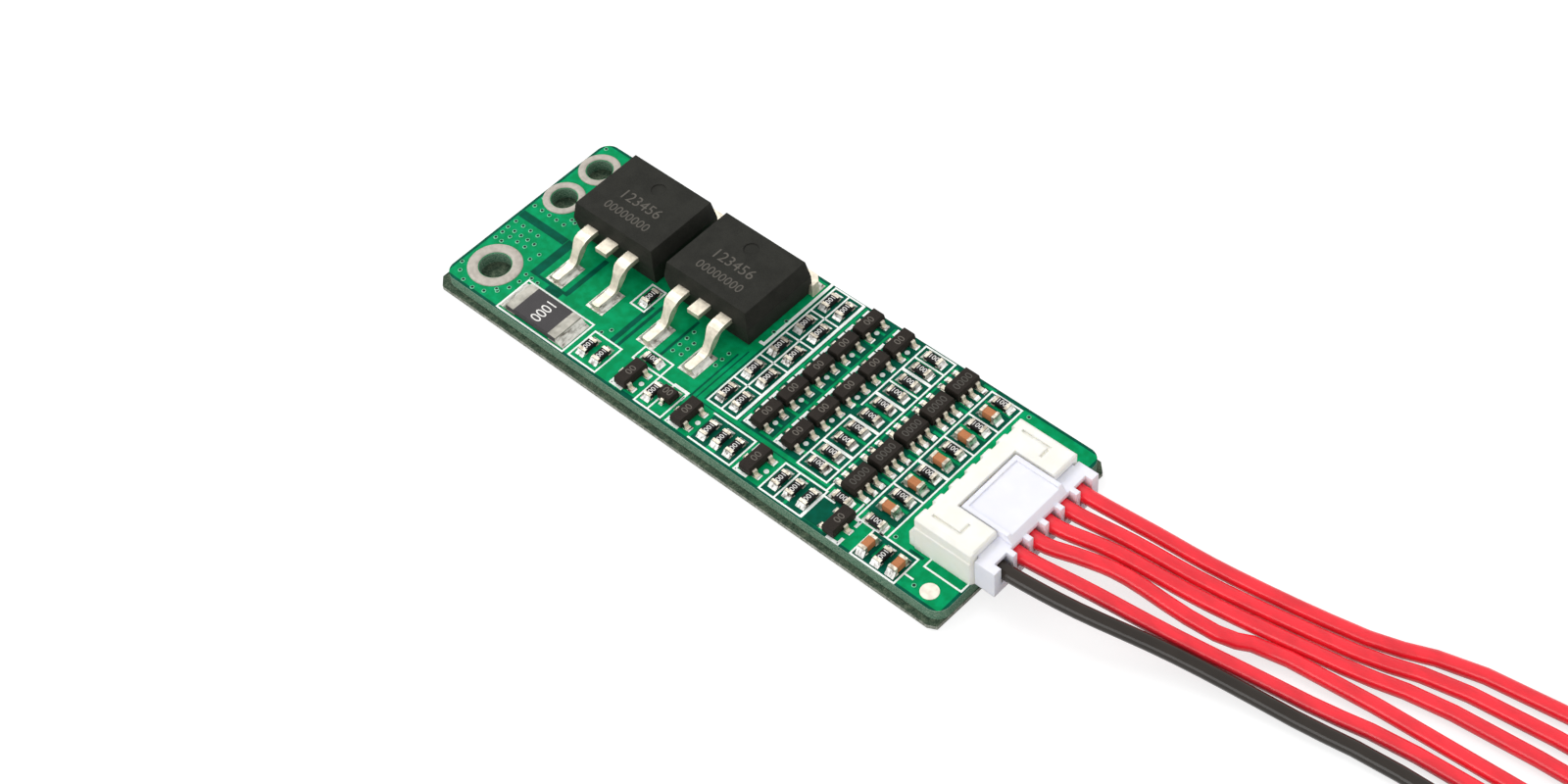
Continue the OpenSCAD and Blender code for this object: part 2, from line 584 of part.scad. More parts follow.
// Outside of the header before its hollows: a block with a heel behind each end
module header_block() {
    for (s = [-1, 1]) translate([0, s * (header_w / 2 - heel_w / 2 - 0.1), 0]) along_y(heel_w)
        polygon([[-heel_l, 0], [1, 0], [1, heel_z[1]], [0, heel_z[1]], [-heel_l, heel_z[0]]]);
    intersection() {
        // side view: the roof falls away a little at the mouth
        along_y(header_w + 1) polygon([[0, 0], [header_l, 0], [header_l, header_h - 0.15],
            [header_l - 0.15, header_h], [0.2, header_h], [0, header_h - 0.2]]);
        // end view: chamfered top edges over a shallow step
        along_x(3 * header_l) let (h = header_w / 2, t = header_h) polygon([
            [-h, 0], [h, 0], [h, t * 0.66], [h - 0.1, t * 0.68], [h - 0.1, t - 0.35],
            [h - 0.45, t], [-h + 0.45, t], [-h + 0.1, t - 0.35], [-h + 0.1, t * 0.68], [-h, t * 0.66]]);
        // plan: the arms' outer corners are cut at the mouth
        linear_extrude(2 * header_h) let (h = header_w / 2, l = header_l, c = nose_cut) polygon([
            [0, -h], [l - c / 2, -h], [l, -h + c], [l, h - c], [l - c / 2, h], [0, h]]);
    }
}

module header_housing() color([0.93, 0.92, 0.85]) at_header() difference() {
    header_block();
    // the hollow the plug sits in, open at the mouth
    translate([cave_x, -cave_w / 2, header_wall])
        cube([header_l, cave_w, header_h - 2 * header_wall]);
    // window in the roof
    translate([cave_x + 0.1, -window_w / 2, header_h - 2 * header_wall])
        cube([header_l, window_w, header_h]);
    for (y = pin_ys) translate([0, y, 0]) {
        // slot that each pin turns down in, and the notch over it in the roof's edge
        translate([-1, -slot_w / 2, -1]) cube([1 + slot_l, slot_w, pin_z + pin_t / 2 + 1.3]);
        translate([-1, -slot_w / 2, 0]) cube([1 + rib_gap, slot_w, header_h + 1]);
        translate([0, -pin_t / 2, pin_z - pin_t / 2]) cube([header_l, pin_t, pin_t]);
    }
    // groove along each arm that turns towards the window at its end
    for (s = [-1, 1]) translate([groove_at[0], s * groove_at[1], header_h - groove[3]]) {
        translate([0, -groove[2] / 2, 0]) cube([groove[0], groove[2], 1]);
        translate([groove[0] - groove[2], s > 0 ? -groove[1] : 0, 0]) cube([groove[2], groove[1], 1]);
    }
}

// ---- plug ----

module contact() {
    // box round the pin
    translate([contact_x, 0, pin_z]) difference() {
        translate([0, -contact_w / 2, -contact_w / 2]) cube([2.8, contact_w, contact_w]);
        translate([-1, contact_t - contact_w / 2, contact_t - contact_w / 2])
            cube([5, contact_w - 2 * contact_t, contact_w - 2 * contact_t]);
    }
    // trough crimped behind it
    translate([contact_x + 2.8, 0, pin_z - contact_w / 2]) difference() {
        translate([0, -contact_w / 2, 0]) cube([wire_x - contact_x - 2.8, contact_w, contact_w * 0.7]);
        translate([-1, contact_t - contact_w / 2, contact_t])
            cube([5, contact_w - 2 * contact_t, contact_w]);
    }
}
module plug_contacts() color([0.8, 0.78, 0.7]) at_header() for (y = pin_ys)
    translate([0, y, 0]) contact();

module plug_housing() color([0.95, 0.96, 1]) at_header() difference() {
    union() {
        translate([cave_x + 0.15, -plug_w / 2, plug_z[0]])
            cube([collar_x - cave_x, plug_w, plug_z[1] - plug_z[0]]);
        // raised panel that fills the roof window and slopes down to the comb
        along_y(panel_w) polygon([[cave_x + 0.3, plug_z[1] - 1], [comb_x, plug_z[1] - 1],
            [comb_x, plug_z[1]], [comb_x - 0.6, plug_z[1] + panel_h], [cave_x + 0.4, plug_z[1] + panel_h],
            [cave_x + 0.3, plug_z[1] + panel_h - 0.1]]);
        // collar behind the mouth, and the comb
        translate([collar_x, -collar_w / 2, 0.3]) cube([collar_l + comb_l, collar_w, plug_z[1] - 0.3]);
    }
    // shallow field inside the panel's rim
    translate([cave_x + 0.3 + rim_w, rim_w - panel_w / 2, plug_z[1] + panel_h - rim_t])
        cube([header_l, panel_w - 2 * rim_w, 1]);
    for (y = pin_ys) translate([0, y, pin_z]) {
        translate([cave_x - 1, -0.4, -0.4]) cube([3, 0.8, 0.8]);
        translate([contact_x - 0.05, -way_w / 2, -way_w / 2])
            cube([header_l + collar_l + comb_l, way_w, way_w]);
        translate([comb_x, -way_w / 2, 0]) cube([5, way_w, header_h]);
    }
}

// ---- wires ----

function spline(p, k, s) = let (a = p[max(k - 1, 0)], b = p[k], c = p[k + 1],
    d = p[min(k + 2, len(p) - 1)])
    b + 0.5 * s * (c - a + s * (2 * a - 5 * b + 4 * c - d + s * (3 * (b - c) + d - a)));
function smooth(p) = concat([for (k = [0:len(p) - 2], j = [0, 1]) spline(p, k, j / 2)],
    [p[len(p) - 1]]);

// Tube of eight sides through the points, its first ring square to X
module tube(p, d) let (n = len(p),
    t = [for (k = [0:n - 1]) k == 0 ? [1, 0, 0] : unit(p[min(k + 1, n - 1)] - p[k - 1])],
    s = [for (v = t) unit([-v[1], v[0], 0])],
    u = [for (k = [0:n - 1]) cross(t[k], s[k])],
    pts = [for (k = [0:n - 1], a = [0:7]) let (q = 45 * a + 22.5)
        p[k] + d / 2 * (cos(q) * s[k] + sin(q) * u[k])])
    polyhedron(pts, concat([[for (a = [0:7]) a]],
        [for (k = [0:n - 2], a = [0:7]) let (b = (a + 1) % 8)
            [8 * k + a, 8 * k + 8 + a, 8 * k + 8 + b, 8 * k + b]],
        [[for (a = [7:-1:0]) 8 * (n - 1) + a]]));

module wire(k, c) color(c) let (
    o = [header_x - mid[0], header_y - mid[1] + pin_ys[k], pin_z - mid[2]])
    tube(smooth(concat([o + [wire_x, 0, 0], o + [comb_x + comb_l + 0.8, 0, 0]], routes[k])), wire_d);

module wire_1() wire(0, [0.15, 0.14, 0.14]);
module wire_2() wire(1, [0.9, 0.15, 0.2]);
module wire_3() wire(2, [0.9, 0.15, 0.2]);
module wire_4() wire(3, [0.9, 0.15, 0.2]);
module wire_5() wire(4, [0.9, 0.15, 0.2]);
module wire_6() wire(5, [0.9, 0.15, 0.2]);

board();
insulating_sheet();
main_pad_ring();
side_pad_rings();
test_pad();
mosfet_1_body();
mosfet_1_tab();
mosfet_1_leads();
mosfet_2_body();
mosfet_2_tab();
mosfet_2_leads();
mosfet_solder();
shunt_body();
shunt_terminals();
shunt_solder();
cell_resistors();
cell_resistor_ends();
cell_resistor_solder();
pair_resistors();
pair_resistor_ends();
pair_resistor_solder();
filter_resistors();
filter_resistor_ends();
filter_capacitors();
filter_capacitor_ends();
filter_solder();
edge_resistors();
edge_resistor_ends();
edge_capacitors();
edge_capacitor_ends();
edge_solder();
transistor_bodies_1();
transistor_leads_1();
transistor_bodies_2();
transistor_leads_2();
transistor_solder();
edge_transistor_bodies();
edge_transistor_leads();
edge_transistor_solder();
cell_chip_bodies();
cell_chip_leads();
cell_chip_solder();
header_housing();
header_pins();
header_solder();
plug_housing();
plug_contacts();
wire_1();
wire_2();
wire_3();
wire_4();
wire_5();
wire_6();
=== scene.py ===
"""Looks of a battery management board: its wires, print, plated dots and finishes.

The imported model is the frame: parts are found by its nodes, and the print and the plated
dots are placed from the board's near corner and top face. Lengths are millimetres from
there and become metres where a mesh is placed. The wires' routes are millimetres in the
frame, and the settings of the camera, lamps and wires are metres.
"""

import math

import bpy
from bpy.props import FloatProperty, FloatVectorProperty, PointerProperty
from mathutils import Matrix, Vector


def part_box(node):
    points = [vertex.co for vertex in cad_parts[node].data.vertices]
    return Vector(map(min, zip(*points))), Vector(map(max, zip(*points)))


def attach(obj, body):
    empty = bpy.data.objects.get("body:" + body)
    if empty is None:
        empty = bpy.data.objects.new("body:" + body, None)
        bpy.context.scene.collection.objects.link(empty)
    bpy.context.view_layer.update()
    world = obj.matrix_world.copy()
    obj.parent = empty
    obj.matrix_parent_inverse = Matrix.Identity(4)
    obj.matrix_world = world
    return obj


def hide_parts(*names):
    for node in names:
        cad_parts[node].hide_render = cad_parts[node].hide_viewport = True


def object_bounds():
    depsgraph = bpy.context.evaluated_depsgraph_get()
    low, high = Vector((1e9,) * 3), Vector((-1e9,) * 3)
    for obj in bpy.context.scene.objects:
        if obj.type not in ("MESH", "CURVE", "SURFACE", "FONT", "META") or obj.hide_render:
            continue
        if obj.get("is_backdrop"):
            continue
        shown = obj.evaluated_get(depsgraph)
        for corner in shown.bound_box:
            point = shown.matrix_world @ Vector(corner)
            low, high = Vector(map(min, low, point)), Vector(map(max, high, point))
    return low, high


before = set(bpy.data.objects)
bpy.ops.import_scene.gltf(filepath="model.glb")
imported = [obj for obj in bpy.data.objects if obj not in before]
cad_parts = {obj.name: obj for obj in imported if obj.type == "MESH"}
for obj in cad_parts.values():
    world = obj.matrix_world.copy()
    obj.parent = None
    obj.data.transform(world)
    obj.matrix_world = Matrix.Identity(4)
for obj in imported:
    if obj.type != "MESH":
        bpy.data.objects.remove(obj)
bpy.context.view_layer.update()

bl_info = {
    "name": "Battery management board",
    "version": (1, 0, 0),
    "blender": (4, 5, 0),
    "location": "3D View > Sidebar > Board",
    "description": "Wires, print, plated dots and finishes for the packed board",
    "category": "Object",
}

MM = 0.001
BOARD_LOW, BOARD_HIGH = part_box("board")
CORNER = Vector((BOARD_LOW.x, BOARD_LOW.y, BOARD_HIGH.z))
BOARD_L = (BOARD_HIGH.x - BOARD_LOW.x) / MM
BOARD_W = (BOARD_HIGH.y - BOARD_LOW.y) / MM
BOARD_T = (BOARD_HIGH.z - BOARD_LOW.z) / MM
# The insulating sheet's underside, from the board's top face
SHEET_LOW = (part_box("insulating_sheet")[0].z - BOARD_HIGH.z) / MM


def tint(red, green, blue):
    """A colour given in the everyday 0 to 255 scale, as the linear values that Blender takes."""
    def linear(level):
        level = level / 255
        return level / 12.92 if level <= 0.04045 else ((level + 0.055) / 1.055) ** 2.4
    return (linear(red), linear(green), linear(blue))


# ---- sizes and colours that a user would change ----

class StudioSettings(bpy.types.PropertyGroup):
    """Camera, lamps and surroundings"""
    azimuth: FloatProperty(name="Azimuth", default=math.radians(47.05), subtype="ANGLE",
                           description="Turn of the camera round the board")
    elevation: FloatProperty(name="Elevation", default=math.radians(50.214), subtype="ANGLE",
                             description="Height of the camera above the board, as an angle")
    roll: FloatProperty(name="Roll", default=math.radians(-5.785), subtype="ANGLE",
                        description="Turn of the camera about its own line of sight")
    lens: FloatProperty(name="Lens", default=61.2, description="Focal length in millimetres")
    distance: FloatProperty(name="Distance", default=0.2279, unit="LENGTH",
                            description="From the camera to the point it looks at")
    aim: FloatVectorProperty(name="Aim", default=(0.004045, -0.001111, 0.0017), unit="LENGTH",
                             description="The point the camera looks at")
    key_power: FloatProperty(name="Key lamp", default=1.9, unit="POWER",
                             description="Power of the high lamp past the large hole's end")
    fill_power: FloatProperty(name="Fill lamp", default=0.5, unit="POWER",
                              description="Power of the high lamp on the far side")
    near_power: FloatProperty(name="Near lamp", default=1.3, unit="POWER",
                              description="Power of the low lamp on the near side")
    sky: FloatProperty(name="Sky", default=0.78, description="Light from all round")


class BoardSettings(bpy.types.PropertyGroup):
    """Mask, print and plated dots"""
    mask: FloatVectorProperty(name="Solder mask", default=tint(4, 158, 100), subtype="COLOR",
                              description="Green over copper")
    bare_mask: FloatVectorProperty(name="Mask over laminate", default=tint(3, 92, 72),
                                   subtype="COLOR",
                                   description="Green where the copper is cut away")
    stroke: FloatProperty(name="Stroke", default=0.17,
                          description="Width of a printed line, in mm")
    heavy_stroke: FloatProperty(name="Heavy stroke", default=0.3,
                                description="Width of a row's line and a corner mark, in mm")
    via_radius: FloatProperty(name="Plated dot", default=0.21,
                              description="Radius of a plated dot's rim, in mm")


class WireSettings(bpy.types.PropertyGroup):
    """Size and colours of the six wires"""
    diameter: FloatProperty(name="Diameter", default=0.0014, unit="LENGTH",
                            description="Width of a wire over its insulation")
    red: FloatVectorProperty(name="Red", default=tint(250, 40, 56), subtype="COLOR",
                             description="Insulation of the five sense wires")
    black: FloatVectorProperty(name="Black", default=tint(46, 39, 33), subtype="COLOR",
                               description="Insulation of the return wire")
    stripped: FloatProperty(name="Stripped length", default=0.003, unit="LENGTH",
                            description="Bare tinned length at a wire's free end")


# ---- places, read from the frame ----

def spot(x, y, z=0.0):
    """A point given from the board's near corner and top face, in the frame's metres."""
    return CORNER + Vector((x, y, z)) * MM


def extent(low, high):
    """A box in metres as its low and high corners from the board's near corner."""
    return (low - CORNER) / MM, (high - CORNER) / MM


# Vertices on the same step of this grid, so many to the metre, are one point
GRID = 1e6


def solids(name):
    """The separate solids of a CAD node, as boxes in order along X and then Y."""
    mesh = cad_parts[name].data
    grid = [tuple(round(c * GRID) for c in v.co) for v in mesh.vertices]
    leader = {point: point for point in grid}

    def lead(point):
        while leader[point] != point:
            leader[point] = leader[leader[point]]
            point = leader[point]
        return point

    for face in mesh.polygons:
        first, *others = [grid[i] for i in face.vertices]
        for other in others:
            leader[lead(other)] = lead(first)
    groups = {}
    for point in leader:
        groups.setdefault(lead(point), []).append(Vector(point) / GRID)
    boxes = []
    for points in groups.values():
        low = Vector([min(p[k] for p in points) for k in range(3)])
        high = Vector([max(p[k] for p in points) for k in range(3)])
        boxes.append(extent(low, high))
    return sorted(boxes, key=lambda b: (round(b[0].x, 1), b[0].y))


def middle(box):
    """The centre of a box."""
    return (box[0] + box[1]) / 2


# ---- modelling ----

def clear():
    """Leaves nothing selected, so that an operator acts only on what follows."""
    if bpy.context.object and bpy.context.object.mode != "OBJECT":
        bpy.ops.object.mode_set(mode="OBJECT")
    bpy.ops.object.select_all(action="DESELECT")


def edit(obj, pick, mode="FACE"):
    """Opens edit mode with only the faces or edges selected that pick accepts."""
    clear()
    bpy.context.view_layer.objects.active = obj
    obj.select_set(True)
    for group in (obj.data.vertices, obj.data.edges, obj.data.polygons):
        for part in group:
            part.select = False
    chosen = obj.data.polygons if mode == "FACE" else obj.data.edges
    for part in chosen:
        part.select = pick(part)
    bpy.ops.object.mode_set(mode="EDIT")
    bpy.ops.mesh.select_mode(type=mode)


def settle(obj):
    """Moves an object's place, turn and scale into its mesh."""
    clear()
    obj.data.transform(obj.matrix_world)
    obj.matrix_world = Matrix.Identity(4)
    return obj


def finished(obj, name, material=None):
    """Names a piece, lets it ride on the board and gives it its slot and material."""
    obj.name = name
    obj.data.name = name
    if material is not None:
        obj.data.materials.clear()
        obj.data.materials.append(material)
    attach(obj, "root")
    return obj


def copies(master, places):
    """One piece made of copies of a master, each with its own mesh; the master goes."""
    made = []
    for place in places:
        twin = master.copy()
        twin.data = master.data.copy()
        twin.data.transform(place)
        bpy.context.collection.objects.link(twin)
        made.append(twin)
    bpy.data.objects.remove(master)
    return joined(made)


def joined(pieces):
    """Several pieces made one."""
    clear()
    for piece in pieces:
        piece.select_set(True)
    bpy.context.view_layer.objects.active = pieces[0]
    if len(pieces) > 1:
        bpy.ops.object.join()
    clear()
    return pieces[0]


# How far the top edges of a unit of print are eased
PRINT_EASE = 0.12


def eased_top(unit, segments):
    """Bevels the top edges of a unit of print, which is one unit high."""
    edit(unit, lambda e: min(unit.data.vertices[i].co.z for i in e.vertices) > 0.9, "EDGE")
    bpy.ops.mesh.bevel(offset=PRINT_EASE, segments=segments, affect="EDGES")
    bpy.ops.object.mode_set(mode="OBJECT")
    return unit


def stroke_master():
    """A printed line a unit long and wide."""
    clear()
    bpy.ops.mesh.primitive_cube_add(size=1, location=(0.5, 0, 0.5))
    return eased_top(settle(bpy.context.object), 1)


def dot_master():
    """A printed dot of unit radius."""
    clear()
    bpy.ops.mesh.primitive_cylinder_add(vertices=20, radius=1, depth=1, location=(0, 0, 0.5))
    return eased_top(settle(bpy.context.object), 2)


def laid_between(start, end, width, height):
    """The placing of a unit stroke from one board point to another."""
    start, end = Vector(start), Vector(end)
    along = (end - start).normalized()
    start = start - along * width / 2
    end = end + along * width / 2
    turn = Matrix.Rotation(math.atan2(along.y, along.x), 4, "Z")
    size = Matrix.Diagonal(((end - start).length * MM, width * MM, height * MM, 1))
    return Matrix.Translation(spot(start.x, start.y)) @ turn @ size


def rectangle(x0, x1, y0, y1):
    """The four sides of a printed box."""
    corners = [(x0, y0), (x1, y0), (x1, y1), (x0, y1)]
    return [(corners[k], corners[(k + 1) % 4]) for k in range(4)]


def polyline(*points):
    """Lines from each point to the next."""
    return list(zip(points, points[1:]))


# The font's size over the height of its figures, and how thick printed figures stand
FONT_SIZE = 1.4
FIGURE_THICK = 0.01


def words(body, height, place, turn, narrow):
    """Plain printed figures as a mesh, centred on a board point, turned by some degrees."""
    clear()
    bpy.ops.object.text_add()
    text = bpy.context.object
    text.data.body = body
    text.data.size = height * FONT_SIZE
    text.data.align_x = "CENTER"
    text.data.align_y = "CENTER"
    text.data.extrude = FIGURE_THICK / 2
    text.data.resolution_u = 3
    bpy.ops.object.convert(target="MESH")
    text = bpy.context.object
    where = Matrix.Translation(spot(*place)) @ Matrix.Rotation(math.radians(turn), 4, "Z")
    text.data.transform(where @ Matrix.Scale(MM, 4) @ Matrix.Diagonal((narrow, 1, 1, 1)))
    return text


# ---- materials ----

class Field:
    """A socket whose value varies over a surface; Python's operators add its Math nodes."""

    def __init__(self, nodes, socket):
        self.nodes = nodes
        self.socket = socket

    def maths(self, operation, first, second):
        return self.nodes.node("ShaderNodeMath", {"operation": operation},
                               {0: first, 1: second})

    def __add__(self, other):
        return self.maths("ADD", self, other)

    def __radd__(self, other):
        return self.maths("ADD", other, self)

    def __sub__(self, other):
        return self.maths("SUBTRACT", self, other)

    def __rsub__(self, other):
        return self.maths("SUBTRACT", other, self)

    def __mul__(self, other):
        return self.maths("MULTIPLY", self, other)

    def __rmul__(self, other):
        return self.maths("MULTIPLY", other, self)

    def __mod__(self, step):
        return self.maths("FLOORED_MODULO", self, step)

    def __or__(self, other):
        return self.maths("MAXIMUM", self, other)

    def __and__(self, other):
        return self.maths("MINIMUM", self, other)

    def __abs__(self):
        return self.maths("ABSOLUTE", self, 0.0)

    def outlet(self, name):
        """Another outlet of the same node."""
        return Field(self.nodes, self.socket.node.outputs[name])

    def rise(self, low, high):
        """0 up to low and 1 from high on, with a smooth step between."""
        return self.nodes.node("ShaderNodeMapRange", {"interpolation_type": "SMOOTHSTEP"},
                               {"Value": self, "From Min": low, "From Max": high})


class Nodes:
    """A node tree, emptied or not, that grows by one method."""

    def __init__(self, tree):
        self.tree = tree

    def node(self, kind, settings=None, inputs=None, outlet=0):
        """Adds one node: its settings first, then the values or links of its sockets."""
        node = self.tree.nodes.new(kind)
        for name, value in (settings or {}).items():
            if name == "stops":
                self.stops(node.color_ramp, value)
            else:
                setattr(node, name, value)
        self.fill(node, inputs or {})
        return Field(self, node.outputs[outlet]) if len(node.outputs) else None

    def stops(self, ramp, stops):
        while len(ramp.elements) < len(stops):
            ramp.elements.new(0.5)
        for element, (position, colour) in zip(ramp.elements, stops):
            element.position = position
            element.color = (*colour, 1)

    def fill(self, node, inputs):
        for name, value in inputs.items():
            if isinstance(value, Field):
                self.tree.links.new(value.socket, node.inputs[name])
            elif node.inputs[name].type == "RGBA" and len(value) == 3:
                node.inputs[name].default_value = (*value, 1)
            else:
                node.inputs[name].default_value = value


class Finish(Nodes):
    """A procedural material; its patterns lie in the board's own millimetres."""

    def __init__(self, name):
        self.material = bpy.data.materials.new(name)
        self.material.use_nodes = True
        super().__init__(self.material.node_tree)
        self.shader = self.tree.nodes["Principled BSDF"]
        whole = self.node("ShaderNodeTexCoord", outlet="Object")
        self.where = self.node("ShaderNodeMapping", {"vector_type": "POINT"},
                               {"Vector": whole, "Scale": [1 / MM] * 3,
                                "Location": [-c / MM for c in CORNER]})

    def set(self, **sockets):
        """Gives the shader's sockets their values: Base_Color=..., Roughness=..."""
        self.fill(self.shader, {name.replace("_", " "): v for name, v in sockets.items()})
        return self

    def axes(self):
        x = self.node("ShaderNodeSeparateXYZ", inputs={0: self.where})
        return x, x.outlet("Y"), x.outlet("Z")

    def stretched(self, scale):
        return self.node("ShaderNodeMapping", {"vector_type": "POINT"},
                         {"Vector": self.where, "Scale": scale})

    def noise(self, scale, detail=2.0, vector=None, roughness=0.5):
        return self.node("ShaderNodeTexNoise", {},
                         {"Vector": vector or self.where, "Scale": scale, "Detail": detail,
                          "Roughness": roughness})

    def cells(self, scale, vector=None):
        return self.node("ShaderNodeTexVoronoi", {},
                         {"Vector": vector or self.where, "Scale": scale}, "Distance")

    def blend(self, share, first, second, kind="MIX"):
        """Two colours mixed; 6, 7 and 2 are the Mix node's own numbers for its colours."""
        return self.node("ShaderNodeMix", {"data_type": "RGBA", "blend_type": kind},
                         {0: share, 6: first, 7: second}, 2)

    def ramp(self, value, stops):
        return self.node("ShaderNodeValToRGB", {"stops": stops}, {0: value})

    def bump(self, height, strength, distance=0.05, under=None):
        """Relief from a height field; distance is its depth in millimetres."""
        inputs = {"Height": height, "Strength": strength, "Distance": distance * MM}
        if under is not None:
            inputs["Normal"] = under
        return self.node("ShaderNodeBump", {}, inputs)

    def eased(self, radius):
        """Normals as though the sharp edges were rounded by a radius in millimetres."""
        return self.node("ShaderNodeBevel", {"samples": 6}, {"Radius": radius * MM})


def outside(x, y, box):
    """How far a point lies outside a box x0, x1, y0, y1; below 0 inside it."""
    x0, x1, y0, y1 = box
    across = abs(x - (x0 + x1) / 2) - (x1 - x0) / 2
    along = abs(y - (y0 + y1) / 2) - (y1 - y0) / 2
    return across | along


def nearest(x, y, boxes):
    """How far a point lies outside the nearest of some boxes."""
    least = outside(x, y, boxes[0])
    for box in boxes[1:]:
        least = least & outside(x, y, box)
    return least


# Boxes x0, x1, y0, y1 on the board: first where the copper pours round the wire holes, the
# leads and the near strip are cut apart
POUR_GAPS = [
    (0.3, 6.1, 9.1, 9.95), (6.15, 7.1, 4.95, 9.95), (7.1, 10.9, 4.95, 5.25),
    (10.4, 10.95, 5.2, 10.3), (8.7, 10.4, 4.3, 4.95), (17.4, 17.95, 3.7, 9.0),
    (18.25, 18.6, 3.7, 9.6), (21.95, 22.25, 5.3, 10.3), (27.2, 27.4, 3.7, 9.8),
    (27.75, 27.9, 3.9, 10.6), (28.42, 28.6, 4.3, 20.9), (22.3, 27.2, 0.0, 0.5),
    (28.6, 43.2, 3.8, 3.92), (30.4, 35.0, 0.45, 3.6), (38.6, 45.2, 0.3, 3.6),
    (48.9, 53.6, 0.2, 3.1), (52.4, 53.9, 3.3, 3.6),
]
# The field of the cell circuits, where only tracks are left
ROW_FIELDS = [(28.7, 50.3, 4.35, 20.75)]
# and those tracks: the same ones in every cell row, then single ones
ROW_START = 4.4
ROW_STEP = 3.3
ROW_AREA = (32.2, 50.9, 4.4, 20.8)
ROW_TRACKS = [
    (34.6, 36.6, 0.2, 0.5), (34.6, 35.7, 1.75, 2.0), (32.3, 33.0, 1.1, 1.5),
    (38.0, 39.3, 0.9, 1.25), (38.2, 39.1, 2.45, 2.75), (36.0, 36.6, 2.0, 2.5),
    (42.7, 43.7, 0.5, 0.8), (42.7, 43.4, 1.5, 1.75), (42.7, 43.7, 2.4, 2.75),
    (45.4, 47.0, 0.15, 0.4), (45.4, 46.9, 1.25, 1.5), (45.9, 47.2, 2.9, 3.2),
    (47.1, 49.9, 1.6, 1.9), (39.5, 42.5, 1.5, 1.8), (50.2, 50.9, 1.2, 2.4),
]
TRACKS = [
    (35.9, 36.15, 4.6, 20.6), (32.35, 32.6, 4.4, 20.8), (42.9, 43.1, 4.8, 20.6),
    (41.15, 41.45, 0.4, 3.5), (50.4, 50.9, 1.0, 2.6), (32.2, 33.2, 0.5, 1.0),
]


def mask_finish(settings):
    """Green solder mask over copper and laminate, with a sawn edge and a painted highlight along
    the top of that edge.
    """
    finish = Finish("solder_mask_green")
    x, y, z = finish.axes()
    mottle = finish.noise(1.1, 3)
    fine = finish.noise(16, 2)
    inset, soft = 0.28, 0.03
    rim = outside(x, y, (inset, BOARD_L - inset, inset, BOARD_W - inset))
    bare = (nearest(x, y, POUR_GAPS + ROW_FIELDS) & (0 - rim)).rise(soft, -soft)
    in_row = (y - ROW_START) % ROW_STEP
    tracks = (nearest(x, in_row, ROW_TRACKS) | outside(x, y, ROW_AREA)) & nearest(x, y, TRACKS)
    gap = bare * tracks.rise(-soft, soft)
    green = finish.blend(gap, list(settings.mask), list(settings.bare_mask))
    dim = finish.blend(mottle.rise(0.35, 0.68), tint(214, 226, 214), tint(255, 255, 255))
    green = finish.blend(1.0, green, dim, "MULTIPLY")
    weave = finish.cells(7, finish.stretched([1, 1, 2.5]))
    edge = finish.ramp(weave + 0.25 * fine, [
        (0.2, tint(48, 88, 70)), (0.5, tint(78, 118, 97)), (0.8, tint(130, 156, 134))])
    top = z.rise(-0.05, -0.02)
    colour = finish.blend(top, edge, green)
    # Painted highlight: a pale line on the sawn edge just under the top face, broken up by fine
    # noise
    edge_highlight = z.rise(-0.14, -0.03) * (1 - z.rise(-0.02, 0.0)) * fine.rise(0.3, 0.5)
    colour = finish.blend(0.7 * edge_highlight, colour, tint(168, 196, 176))
    height = (1 - gap) * 0.6 + 0.08 * fine
    rough = 0.66 - 0.26 * top + 0.08 * fine
    return finish.set(Base_Color=colour, Roughness=rough, Specular_IOR_Level=0.03,
                      Normal=finish.bump(height, 0.6, 0.035)).material


def sheet_finish():
    """Dark resin-bonded fibre sheet, rough and mottled, with a paler cut rim."""
    finish = Finish("insulating_fibre")
    x, y, z = finish.axes()
    cloud = finish.noise(2.2, 5, roughness=0.7)
    speck = finish.noise(9, 3)
    face = finish.ramp(0.6 * cloud + 0.4 * speck, [
        (0.36, tint(36, 54, 42)), (0.48, tint(62, 80, 64)), (0.6, tint(100, 112, 92))])
    rim = finish.ramp(0.5 * cloud + 0.5 * speck, [
        (0.36, tint(92, 98, 84)), (0.5, tint(150, 154, 142)), (0.62, tint(196, 198, 188))])
    cut = z.rise(SHEET_LOW, SHEET_LOW + 0.06) * z.rise(-BOARD_T - 0.04, -BOARD_T - 0.12)
    return finish.set(Base_Color=finish.blend(cut, face, rim), Roughness=0.75 + 0.15 * speck,
                      Specular_IOR_Level=0.2, Normal=finish.bump(speck, 0.7, 0.08)).material


def tin_finish(name, light, dark, blotch=1.8, rough=0.28, metal=1.0, relief=0.12):
    """Tinned metal whose sheen and tone wander a little."""
    finish = Finish(name)
    cloud = finish.noise(blotch, 3)
    grain = finish.noise(26, 2)
    colour = finish.ramp(cloud, [(0.36, dark), (0.6, light)])
    return finish.set(Base_Color=colour, Metallic=metal, Roughness=rough + 0.25 * grain,
                      Normal=finish.bump(0.5 * cloud + 0.5 * grain, relief, 0.04)).material


def solder_finish(name, low, high, metal):
    """Solder that has flowed: its colour is a painted reflection, bright on its crowns and dark
    in lines where it dips.
    """
    finish = Finish(name)
    flow = finish.noise(1.5, 3, finish.stretched([1.7, 0.75, 1]), 0.55)
    streak = finish.noise(3.2, 2, finish.stretched([1.5, 0.5, 1]))
    height = 0.6 * flow + 0.4 * streak
    # low and high are the dark and bright ends of the painted reflection
    half = [(a + b) / 2 for a, b in zip(low, high)]
    colour = finish.ramp(height, [(0.36, low), (0.44, half), (0.5, [0.85 * c for c in high]),
                                  (0.6, high)])
    return finish.set(Base_Color=colour, Metallic=metal, Roughness=0.2 + 0.2 * flow,
                      Normal=finish.bump(height, 0.35, 0.1)).material


